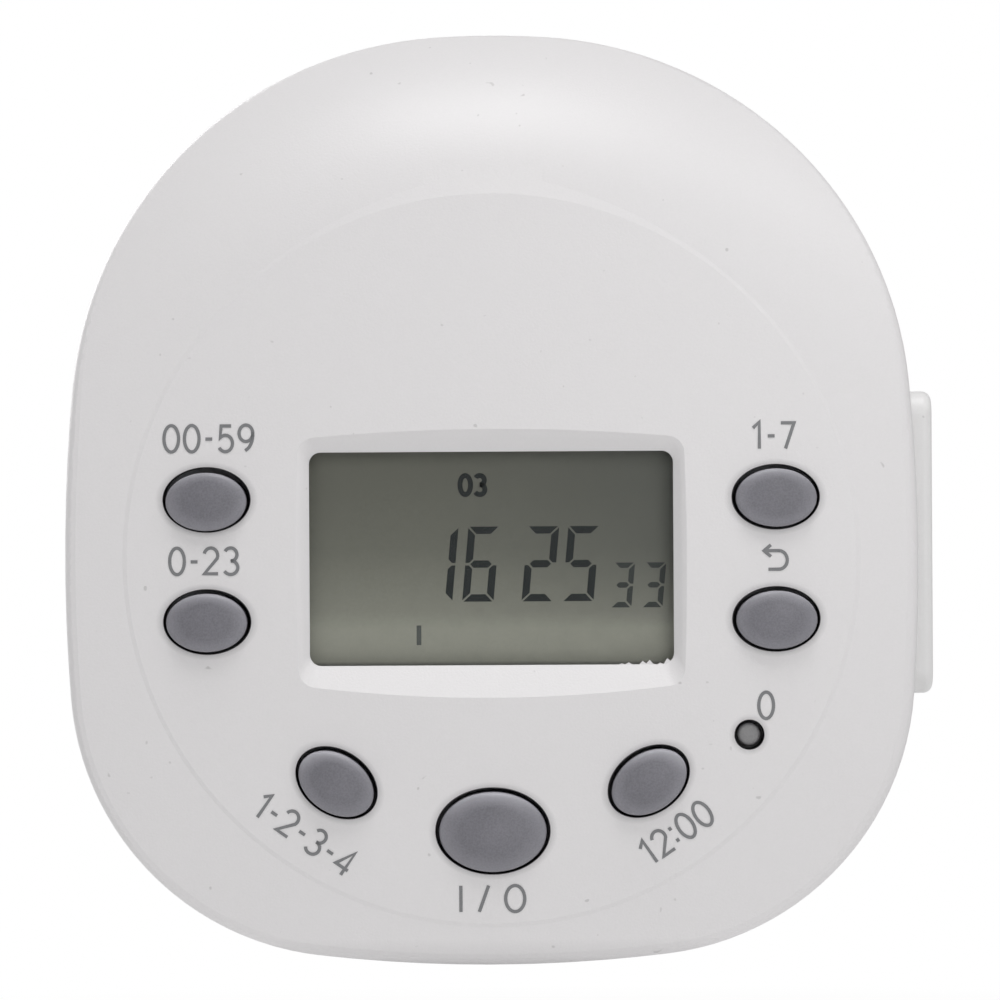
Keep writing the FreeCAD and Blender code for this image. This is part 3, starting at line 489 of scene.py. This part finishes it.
# Display window: a clear acrylic slab pressed in from behind, so that it lies at the floor of the
# recess. Handling has left it faintly smeared.
pane_tint = (0.96, 0.97, 0.965)
pane_gloss = (0.9, 0.93, 0.92)
pane_smears = 180.0
pane_roughness = 0.05
pane_smear_depth = 0.1
acrylic_index = 1.49
pane_shine_index = 1.2
pane_material = bpy.data.materials.new("clear_window")
finish = Finish(pane_material)
smears = finish.noise(pane_smears, 3.0)
gloss = finish.principled(**{
    "Base Color": pane_gloss,
    "Roughness": smears * pane_smear_depth + pane_roughness,
    "IOR": acrylic_index,
})
open_pane = finish.node("ShaderNodeBsdfTransparent", None, {"Color": pane_tint})
shine = finish.node("ShaderNodeFresnel", None, {"IOR": pane_shine_index})
finish.surface(finish.node("ShaderNodeMixShader", None, {0: shine, 1: open_pane, 2: gloss}))
dress(nodes["display_window"], pane_material)

# Window flash: a ragged film of white plastic along the lower right edge of the window, squeezed out
# of the mould and never trimmed. Its teeth stand on the edge of the recess floor.
flash_depth = -0.03608
flash_foot = -0.01416
flash_start = 0.0108
flash_step = 0.0003
tooth_unit = 0.001
flash_teeth = (0.0, 0.12, 0.03, 0.2, 0.05, 0.0, 0.02, 0.32, 0.1, 0.4, 0.08, 0.0, 0.16, 0.05, 0.55, 0.3, 0.75)
flash_points = []
flash_faces = []
for count, tooth in enumerate(flash_teeth):
    x = flash_start + count * flash_step
    flash_points.append((x, flash_depth, flash_foot))
    flash_points.append((x, flash_depth, flash_foot + tooth * tooth_unit))
    if count:
        corner = 2 * count
        flash_faces.append((corner - 2, corner, corner + 1, corner - 1))
window_flash = new_piece("window_flash", flash_points, flash_faces, smooth=False)
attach(window_flash, "housing")
dress(window_flash, cover_white)

# Crystal cell: two sheets of glass with the liquid crystal between them. It looks grey-green, and bluer
# and darker to the right. Painted shade darkens its top, and painted reflection makes it paler below the
# middle and once more along its foot; a line of painted shade lies along the lower edge of the window.
cell_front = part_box("lcd_cell")[0].y
cell_in_shade = (0.207, 0.2, 0.17)
cell_in_reflection = (0.475, 0.46, 0.4)
cell_blue = (0.148, 0.147, 0.137)
cell_shade = (0.09, 0.09, 0.1)
# Painted shade at the top and painted reflection lower down: where each fade runs, and how much paler it
# makes the cell.
cell_painted_light_fades = (
    ((0.0015, -0.0041), 0.14),
    ((-0.0041, -0.0096), 0.48),
    ((-0.0096, -0.0111), 0.35),
)
cell_grain = 4200.0
cell_grain_share = 0.2
blue_side = (-0.006, 0.016)
blue_share = 0.7
blue_loss = 0.9
patch_scale = 700.0
patch_share = 0.2
shade_line = (-0.01385, -0.01412)
shade_share = 0.6
cell_roughness = 0.5
cell_dull_spread = 0.1
cell_index = 1.3
cell_material = bpy.data.materials.new("crystal_cell")
finish = Finish(cell_material)
across, _, height = finish.axes()
painted_lightness = 0.0
for fade, share in cell_painted_light_fades:
    painted_lightness = finish.ramp(height, *fade) * share + painted_lightness
grain = finish.noise(cell_grain, 2.0)
warm = finish.blend(painted_lightness + (grain - 0.5) * cell_grain_share, cell_in_shade, cell_in_reflection)
blueness = finish.ramp(across, *blue_side) * (1 - painted_lightness * blue_loss) * blue_share
patches = (finish.noise(patch_scale, 3.0) - 0.5) * patch_share
tinted = finish.blend(blueness + patches, warm, cell_blue)
shaded = finish.ramp(height, *shade_line) * shade_share
finish.surface(finish.principled(**{
    "Base Color": finish.blend(shaded, tinted, cell_shade),
    "Roughness": grain * cell_dull_spread + cell_roughness,
    "IOR": cell_index,
}))
dress(nodes["lcd_cell"], cell_material)

# Display figures: the segments that the crystal turns dark. Two pairs of large figures lean a little,
# two small ones follow them, fainter, and two short marks stand above and below.
figure_lift = 0.00002
figure_depth = cell_front - figure_lift
figure_lean = 0.09
large_size = (0.0027, 0.00645)
large_bar = 0.00063
large_foot = -0.00873
large_left = (-0.0061, -0.00255, 0.00256, 0.00605)
small_size = (0.0018, 0.00386)
small_bar = 0.00047
small_foot = -0.0093
small_left = (0.0102, 0.01288)
segment_gap = 0.00011
lit_segments = {"1": "bc", "2": "abged", "3": "abgcd", "5": "afgcd", "6": "afgedc"}
figure_ink = (0.031, 0.034, 0.036)
figure_haze = (0.155, 0.16, 0.155)
small_faint = (0.0094, 0.0102)
small_faint_share = 0.3
state_faint = (-0.0102, -0.0108)
state_faint_share = 0.9
figure_noise_share = 0.12
figure_roughness = 0.8
figure_index = 1.2


def segment_shapes(width, height, bar, gap):
    """The seven bars of a figure, as mitred outlines from its lower left corner."""
    middle = height / 2
    half = bar / 2
    top = [(gap, height), (width - gap, height), (width - bar - gap, height - bar), (bar + gap, height - bar)]
    upper_left = [
        (0, height - gap),
        (0, middle + gap),
        (half, middle + gap),
        (bar, middle + half + gap),
        (bar, height - bar - gap),
    ]
    waist = [
        (half + gap, middle),
        (bar + gap, middle + half),
        (width - bar - gap, middle + half),
        (width - half - gap, middle),
        (width - bar - gap, middle - half),
        (bar + gap, middle - half),
    ]
    return {
        "a": top,
        "b": [(width - x, z) for x, z in upper_left],
        "c": [(width - x, height - z) for x, z in upper_left],
        "d": [(x, height - z) for x, z in top],
        "e": [(x, height - z) for x, z in upper_left],
        "f": upper_left,
        "g": waist,
    }


figure_points = []
figure_faces = []


def add_figure(digit, left, foot, size, bar):
    shapes = segment_shapes(size[0], size[1], bar, segment_gap)
    for name in lit_segments[digit]:
        start = len(figure_points)
        for x, z in shapes[name]:
            figure_points.append((left + x + z * figure_lean, figure_depth, foot + z))
        figure_faces.append(list(range(start, len(figure_points))))


for digit, left in zip("1625", large_left):
    add_figure(digit, left, large_foot, large_size, large_bar)
for digit, left in zip("33", small_left):
    add_figure(digit, left, small_foot, small_size, small_bar)
figures = new_piece("display_figures", figure_points, figure_faces, smooth=False)
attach(figures, "housing")
figure_material = bpy.data.materials.new("figure_dark")
finish = Finish(figure_material)
across, _, height = finish.axes()
faint = (
    finish.ramp(across, *small_faint) * small_faint_share
    + finish.ramp(height, *state_faint) * state_faint_share
    + finish.noise(cell_grain, 2.0) * figure_noise_share
)
finish.surface(finish.principled(**{
    "Base Color": finish.blend(faint, figure_ink, figure_haze),
    "Roughness": figure_roughness,
    "IOR": figure_index,
}))
dress(figures, figure_material)

# Printed figures: thin grey marks pad-printed on the face beside the keys. Each is drawn as strokes of
# one width and laid on the curve of the disc.
ink_lift = 0.00003
ink_light = (0.23, 0.233, 0.24)
ink_dark = (0.18, 0.183, 0.19)
cap_height = 0.00227
stroke_share = 0.125
letter_gap = 0.22
stroke_turn = 12
closing_share = 0.1
least_mitre = 0.5
print_mottle = 2600.0
print_roughness = 0.5
printed_marks = (
    ("00-59", -0.02415, 0.0054, 0.0),
    ("0-23", -0.0246, -0.0051, 0.0),
    ("1-7", 0.0242, 0.0054, 0.0),
    ("<", 0.0243, -0.0051, 0.0),
    ("0", 0.02344, -0.0177, 0.0),
    ("1-2-3-4", -0.0161, -0.02855, -35.0),
    ("12:00", 0.0157, -0.02855, 35.0),
    ("I / O", -0.0001, -0.03415, 0.0),
)


def sweep(x, z, across, up, start, end):
    """Points along part of an oval, from one angle to another in degrees."""
    steps = max(2, round(abs(end - start) / stroke_turn))
    points = []
    for step in range(steps + 1):
        angle = math.radians(start + (end - start) * step / steps)
        points.append((x + across * math.cos(angle), z + up * math.sin(angle)))
    return points


# Each mark: its width and its strokes, in shares of the height of a figure
marks = {
    "0": (0.56, [sweep(0.28, 0.5, 0.28, 0.5, 0, 360)]),
    "1": (0.34, [[(0.02, 0.78), (0.26, 1.0), (0.26, 0.0)]]),
    "2": (0.54, [sweep(0.27, 0.72, 0.26, 0.28, 165, -25) + [(0.02, 0.03), (0.54, 0.03)]]),
    "3": (0.54, [
        sweep(0.26, 0.75, 0.24, 0.25, 150, -90),
        sweep(0.26, 0.26, 0.27, 0.26, 90, -150),
    ]),
    "4": (0.58, [[(0.44, 0.0), (0.44, 1.0), (0.03, 0.28), (0.58, 0.28)]]),
    "5": (0.54, [[(0.48, 0.97), (0.1, 0.97), (0.06, 0.52)] + sweep(0.26, 0.31, 0.27, 0.31, 125, -150)]),
    "7": (0.52, [[(0.0, 0.97), (0.5, 0.97), (0.17, 0.0)]]),
    "9": (0.56, [sweep(0.28, 0.69, 0.26, 0.31, 0, 360), sweep(0.1, 0.62, 0.44, 0.62, 10, -70)]),
    ":": (0.1, [[(0.05, 0.16), (0.05, 0.3)], [(0.05, 0.68), (0.05, 0.82)]]),
    "-": (0.3, [[(0.02, 0.48), (0.28, 0.48)]]),
    "/": (0.36, [[(0.0, 0.0), (0.36, 1.0)]]),
    "I": (0.1, [[(0.05, 0.0), (0.05, 1.0)]]),
    "O": (0.72, [sweep(0.36, 0.5, 0.36, 0.5, 0, 360)]),
    "<": (0.95, [
        [(0.3, 1.0), (0.04, 0.78), (0.3, 0.56)],
        [(0.04, 0.78), (0.6, 0.78)] + sweep(0.6, 0.43, 0.32, 0.35, 90, -90) + [(0.2, 0.08)],
    ]),
    " ": (0.2, []),
}


class Ink:
    """Flat strokes gathered into one mesh."""

    def __init__(self, lay):
        self.lay = lay
        self.points = []
        self.faces = []

    def stroke(self, line, half):
        """A ribbon of even width along a line of points, with mitred corners."""
        closed = math.dist(line[0], line[-1]) < half * closing_share
        start = len(self.points)
        last = len(line) - 1
        for count, (x, z) in enumerate(line):
            before = line[count - 1] if count else line[last - 1] if closed else line[0]
            after = line[count + 1] if count < last else line[1] if closed else line[last]
            came = Vector((x - before[0], z - before[1]))
            goes = Vector((after[0] - x, after[1] - z))
            came = came.normalized() if came.length else goes.normalized()
            goes = goes.normalized() if goes.length else came
            side = Vector((-(came.y + goes.y), came.x + goes.x)).normalized()
            reach = half / max(least_mitre, side.dot(Vector((-came.y, came.x))))
            for sign in (1, -1):
                self.points.append(self.lay(x + side.x * reach * sign, z + side.y * reach * sign))
            if count:
                corner = start + 2 * count
                self.faces.append((corner - 2, corner - 1, corner + 1, corner))

    def write(self, text, x, z, height, tilt, share):
        """Writes marks centred on a place, turned by an angle in degrees."""
        widths = [marks[letter][0] for letter in text]
        run = (sum(widths) + letter_gap * (len(text) - 1)) * height
        turn = math.radians(tilt)
        pen = -run / 2
        for letter, width in zip(text, widths):
            for line in marks[letter][1]:
                placed = []
                for u, v in line:
                    along = pen + u * height
                    up = (v - 0.5) * height
                    placed.append((
                        x + along * math.cos(turn) - up * math.sin(turn),
                        z + along * math.sin(turn) + up * math.cos(turn),
                    ))
                self.stroke(placed, share * height / 2)
            pen += (width + letter_gap) * height


def on_face(x, z):
    return (x, sphere_depth(x, z) - ink_lift, z)


face_print = Ink(on_face)
for text, x, z, tilt in printed_marks:
    face_print.write(text, x, z, cap_height, tilt, stroke_share)
legends = new_piece("printed_legends", face_print.points, face_print.faces)
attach(legends, "housing")
ink_material = bpy.data.materials.new("grey_ink")
finish = Finish(ink_material)
finish.surface(finish.principled(**{
    "Base Color": finish.blend(finish.noise(print_mottle, 2.0), ink_light, ink_dark),
    "Roughness": print_roughness,
}))
dress(legends, ink_material)

# Display marks: the day of the week above the figures and the state of the switch below them, dark
# shapes in the same crystal.
day_place = (-0.0016, 0.0013)
day_height = 0.00164
day_stroke = 0.26
state_place = (-0.00628, -0.0116)
state_height = 0.00169
state_stroke = 0.24


def on_cell(x, z):
    return (x, figure_depth, z)


cell_print = Ink(on_cell)
cell_print.write("03", *day_place, day_height, 0.0, day_stroke)
cell_print.write("I", *state_place, state_height, 0.0, state_stroke)
cell_marks = new_piece("display_marks", cell_print.points, cell_print.faces)
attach(cell_marks, "housing")
dress(cell_marks, figure_material)

# Reflector: a polyester film with a satin skin of aluminium, cut to the cell's size and laid behind it.
# It throws back the light that comes in through the crystal.
film_light = (0.7, 0.71, 0.68)
film_dark = (0.55, 0.56, 0.53)
unstretched = (1.0, 1.0, 1.0)
tarnish_scale = 240.0
tarnish_share = 0.7
metal_dull_spread = 0.16
streak_strength = 0.15
streak_depth = 0.00003


def metal(name, light, dark, roughness, streaks, stretch=unstretched):
    """A bare metal with rolling or turning marks along one direction."""
    material = bpy.data.materials.new(name)
    finish = Finish(material)
    marks_along = finish.noise(streaks, 4.0, stretch)
    tarnish = finish.noise(tarnish_scale, 3.0)
    finish.surface(finish.principled(**{
        "Base Color": finish.blend(tarnish * tarnish_share + marks_along * (1 - tarnish_share), light, dark),
        "Metallic": 1.0,
        "Roughness": marks_along * metal_dull_spread + (roughness - metal_dull_spread / 2),
        "Normal": finish.bump(marks_along, streak_strength, streak_depth),
    }))
    return material


dress(nodes["lcd_reflector"], metal("film", film_light, film_dark, roughness=0.35, streaks=3000.0))

# Display frame: a plain nylon moulding round the crystal cell, pressed between the front cover and the
# control board. It keeps the cell over its rubber strips.
nylon_light = (0.72, 0.71, 0.66)
nylon_dark = (0.66, 0.65, 0.6)
nylon = moulded("nylon", nylon_light, nylon_dark, roughness=0.5, grain=3000.0, strength=0.3)
dress(nodes["lcd_frame"], nylon)

# Conductive strips: layered silicone rubber, carbon-filled and plain in turn, which joins the cell's
# edge to the board without solder.
strip_dark = (0.03, 0.03, 0.03)
strip_light = (0.3, 0.3, 0.31)
strip_scale = 450.0
strip_waver = 0.4
strip_roughness = 0.7
strip_dull_spread = 0.1
strip_material = bpy.data.materials.new("striped_rubber")
finish = Finish(strip_material)
layers = finish.node("ShaderNodeTexWave", {"bands_direction": "X"}, {
    "Vector": finish.place(), "Scale": strip_scale, "Distortion": strip_waver,
}, output=1)
finish.surface(finish.principled(**{
    "Base Color": finish.blend(layers, strip_dark, strip_light),
    "Roughness": layers * strip_dull_spread + strip_roughness,
}))
dress(nodes["conductive_strips"], strip_material)

# Keypad mat: one sheet of translucent silicone rubber with a dome under each key, moulded and lightly
# powdered, so it has a dull bloom. The sheet and the dome under each key are split off as pieces of their
# own.
mat_light = (0.52, 0.53, 0.52)
mat_dark = (0.43, 0.44, 0.44)
mat_thickness = 0.0008
sheet_slack = 0.00001
fold_angle = math.radians(30.0)
silicone = moulded("silicone", mat_light, mat_dark, roughness=0.72, grain=2200.0, strength=0.3)
dome_top, sheet_back = (corner.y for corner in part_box("keypad_mat"))
sheet_front = sheet_back - mat_thickness
travel = {joint["child"]: joint["range_m"][1] for joint in frame["record"]["behaviour"]["joints"]}


def mat_share(spot):
    """Which share of the mat a face belongs to: the sheet, or the dome of the key that it is nearest to."""
    if spot.y > sheet_front - sheet_slack:
        return "sheet"
    away = {name: math.dist((spot.x, spot.z), (hole.x, hole.z)) for name, hole in key_holes.items()}
    return min(away, key=away.get)


for share in ["sheet", *key_holes]:
    form = bmesh.new()
    form.from_mesh(nodes["keypad_mat"].data)
    others = [face for face in form.faces if mat_share(face.calc_center_median()) != share]
    bmesh.ops.delete(form, geom=others, context="FACES")
    mesh = bpy.data.meshes.new("mat_" + share)
    form.to_mesh(mesh)
    form.free()
    mesh.shade_smooth()
    mesh.set_sharp_from_angle(angle=fold_angle)
    mat_piece = bpy.data.objects.new("mat_" + share, mesh)
    bpy.context.scene.collection.objects.link(mat_piece)
    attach(mat_piece, "housing")
    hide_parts("keypad_mat")
    dress(mat_piece, silicone)
    if share in key_holes:
        kept = 1 - travel[share] / (sheet_front - dome_top)
        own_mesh(mat_piece)

# Keys: domed oval caps moulded in bluish grey ABS with a fine matt grain. Each slides in its own hole
# and stands on a dome of the mat. A painted highlight lies along the edges of their caps, strongest on the
# upper edges.
key_light = (0.22, 0.216, 0.242)
key_dark = (0.125, 0.123, 0.14)
# The reset key gets a paler copy of the key grey: painted light that lifts it out of the shade of its deep
# hole.
reset_painted_light = (0.46, 0.455, 0.46)
reset_painted_dark = (0.33, 0.325, 0.33)
edge_highlight = (0.4, 0.395, 0.43)
key_roughness = 0.48
key_grain = 6500.0
key_clouds = 300.0
highlight_scale = 900.0
highlight_spread = 0.5
highlight_least = 0.75
rim_run = (0.55, 0.95)
rim_share = 0.34
top_run = (0.3, 0.95)


class PaintedEdgeHighlight:
    """How much painted highlight a key's cap takes: all round near its edge, and most towards its top."""

    def __init__(self, hole):
        self.hole = hole

    def __call__(self, finish):
        rim = finish.ramp(oval_reach(finish, self.hole), *rim_run)
        low, high = (self.hole.z + self.hole.half_short * share for share in top_run)
        _, _, up = finish.axes()
        top = finish.ramp(up, low, high)
        return (rim * rim_share + rim * top) * (finish.noise(highlight_scale, 2.0) * highlight_spread + highlight_least)


for name in nodes:
    if name.endswith("_key"):
        sunk = name == "reset_key"
        # Each cap takes its painted edge highlight, and the reset key its painted paler grey.
        dress(nodes[name], moulded(
            name + "_grey",
            reset_painted_light if sunk else key_light,
            reset_painted_dark if sunk else key_dark,
            key_roughness,
            key_grain,
            strength=0.6,
            clouds=key_clouds,
            painted_light_or_shade=(PaintedEdgeHighlight(key_holes[name]), edge_highlight),
        ))

# Control board and power board: brown laminate of paper and phenolic resin, punched to shape, with the
# glassy skin of the resin. Four short screws hold each.
board_light = (0.36, 0.22, 0.09)
board_dark = (0.26, 0.15, 0.06)
board_clouds = 120.0
laminate = moulded(
    "laminate", board_light, board_dark, roughness=0.42, grain=1500.0, strength=0.25, clouds=board_clouds
)
for name in ("control_board", "power_board"):
    dress(nodes[name], laminate)

# Controller chip: a bare chip bonded to the control board under a drop of black epoxy, which has cured
# with a slightly rippled shine.
resin_light = (0.035, 0.035, 0.037)
resin_dark = (0.018, 0.018, 0.02)
resin = moulded("black_resin", resin_light, resin_dark, roughness=0.35, grain=900.0, strength=0.4)
dress(nodes["controller_chip"], resin)

# Diodes, transistor and link header: parts moulded in black epoxy or nylon and soldered to the boards
# by their leads. They are matt from their moulds.
package_light = (0.04, 0.04, 0.042)
package_dark = (0.024, 0.024, 0.026)
package = moulded("black_package", package_light, package_dark, roughness=0.55, grain=4200.0, strength=0.5)
for name in ("rectifier_diodes", "driver_transistor", "link_header"):
    dress(nodes[name], package)

# Crystal, battery clip and link pins: thin steel, drawn, stamped or cut from wire, with a bright coat
# of tin that takes the solder.
tin_light = (0.72, 0.72, 0.71)
tin_dark = (0.6, 0.6, 0.58)
tinned = metal("tinned", tin_light, tin_dark, roughness=0.32, streaks=900.0, stretch=(1.0, 6.0, 1.0))
for name in ("clock_crystal", "battery_clip", "link_pins"):
    dress(nodes[name], tinned)

# Backup battery: a rechargeable button cell in a drawn steel cup, nickel plated, which shows rings from
# the die. Its clip holds it on the back of the control board.
nickel_light = (0.76, 0.75, 0.73)
nickel_dark = (0.62, 0.61, 0.59)
nickel = metal("nickel", nickel_light, nickel_dark, roughness=0.25, streaks=600.0, stretch=(1.0, 8.0, 1.0))
dress(nodes["backup_battery"], nickel)

# Relay: a coil and a switch sealed in a moulded box of dark blue polyester. It stands on the power
# board and switches the outlet.
relay_light = (0.03, 0.08, 0.26)
relay_dark = (0.02, 0.055, 0.19)
relay_blue = moulded("relay_blue", relay_light, relay_dark, roughness=0.45, grain=3600.0, strength=0.35)
dress(nodes["relay"], relay_blue)

# Dropper capacitor: a wound film capacitor cast with resin into a yellow plastic box. It stands on the
# power board and brings the mains down to the low voltage of the clock.
film_box_light = (0.75, 0.56, 0.1)
film_box_dark = (0.66, 0.47, 0.07)
dress(nodes["dropper_capacitor"], moulded(
    "capacitor_yellow", film_box_light, film_box_dark, roughness=0.4, grain=3600.0, strength=0.25
))

# Smoothing capacitor: a rolled foil in a drawn aluminium can, with a dark plastic sleeve shrunk over it.
# It stands on the power board.
sleeve_light = (0.05, 0.055, 0.08)
sleeve_dark = (0.03, 0.033, 0.05)
dress(nodes["smoothing_capacitor"], moulded(
    "shrunk_sleeve", sleeve_light, sleeve_dark, roughness=0.3, grain=700.0, strength=0.3
))

# Varistor: a pressed disc of zinc oxide dipped in blue resin, which is uneven where the dip ran. It
# stands on the power board by two leads.
dip_light = (0.05, 0.16, 0.46)
dip_dark = (0.035, 0.11, 0.34)
coarse_depth = 0.0001
dress(nodes["varistor"], moulded(
    "blue_dip", dip_light, dip_dark, roughness=0.28, grain=420.0, strength=0.5, depth=coarse_depth
))

# Fusible resistor: wire wound on a ceramic rod and coated in flameproof grey-green cement, which has
# dried rough.
cement_light = (0.34, 0.41, 0.37)
cement_dark = (0.25, 0.32, 0.28)
dress(nodes["fusible_resistor"], moulded(
    "cement", cement_light, cement_dark, roughness=0.75, grain=1800.0, strength=0.6, depth=coarse_depth
))

# Plug pins: three solid brass blades, drawn, cropped and nickel flashed, with fine marks lengthwise.
# The pin carrier holds them against the rear cover.
blade_light = (0.82, 0.78, 0.68)
blade_dark = (0.68, 0.63, 0.5)
blade_stretch = (1.0, 0.06, 1.0)
blade_metal = metal(
    "nickel_brass", blade_light, blade_dark, roughness=0.3, streaks=2600.0, stretch=blade_stretch
)
for name in ("active_pin", "neutral_pin", "earth_pin"):
    dress(nodes[name], blade_metal)

# Pin sleeves: black nylon moulded round the roots of the two live blades, so that no bare metal shows
# while the plug is half out.
root_light = (0.035, 0.035, 0.037)
root_dark = (0.022, 0.022, 0.024)
root_nylon = moulded("sleeve_black", root_light, root_dark, roughness=0.45, grain=4800.0, strength=0.5)
for name in ("active_sleeve", "neutral_sleeve"):
    dress(nodes[name], root_nylon)

# Pin carrier and contact carrier: blocks moulded in nylon filled with glass fibre, which leaves them
# slightly mottled. They hold the pins and the outlet's contacts in place.
filled_light = (0.7, 0.69, 0.63)
filled_dark = (0.62, 0.6, 0.54)
filled = moulded("filled_nylon", filled_light, filled_dark, roughness=0.6, grain=1600.0, strength=0.5)
for name in ("pin_carrier", "contact_carrier"):
    dress(nodes[name], filled)

# Contacts and straps: stamped and folded from rolled brass strip, and marked with its grain. The straps
# lead from the pins to the contacts behind the outlet's slots, on the active side by way of the relay.
strap_light = (0.78, 0.58, 0.28)
strap_dark = (0.62, 0.43, 0.18)
strap_stretch = (1.0, 0.15, 1.0)
strap_metal = metal(
    "rolled_brass", strap_light, strap_dark, roughness=0.32, streaks=1500.0, stretch=strap_stretch
)
for name in nodes:
    if name.endswith("_contact") or name.endswith("_strap"):
        dress(nodes[name], strap_metal)

# Screws: thread-forming screws of zinc-plated steel with pressed cross recesses. Four close the casing
# from behind, and the short ones hold the boards and the pin carrier.
zinc_light = (0.66, 0.67, 0.69)
zinc_dark = (0.5, 0.51, 0.53)
zinc = metal("zinc", zinc_light, zinc_dark, roughness=0.36, streaks=1400.0)
for name in ("case_screws", "board_screws"):
    dress(nodes[name], zinc)
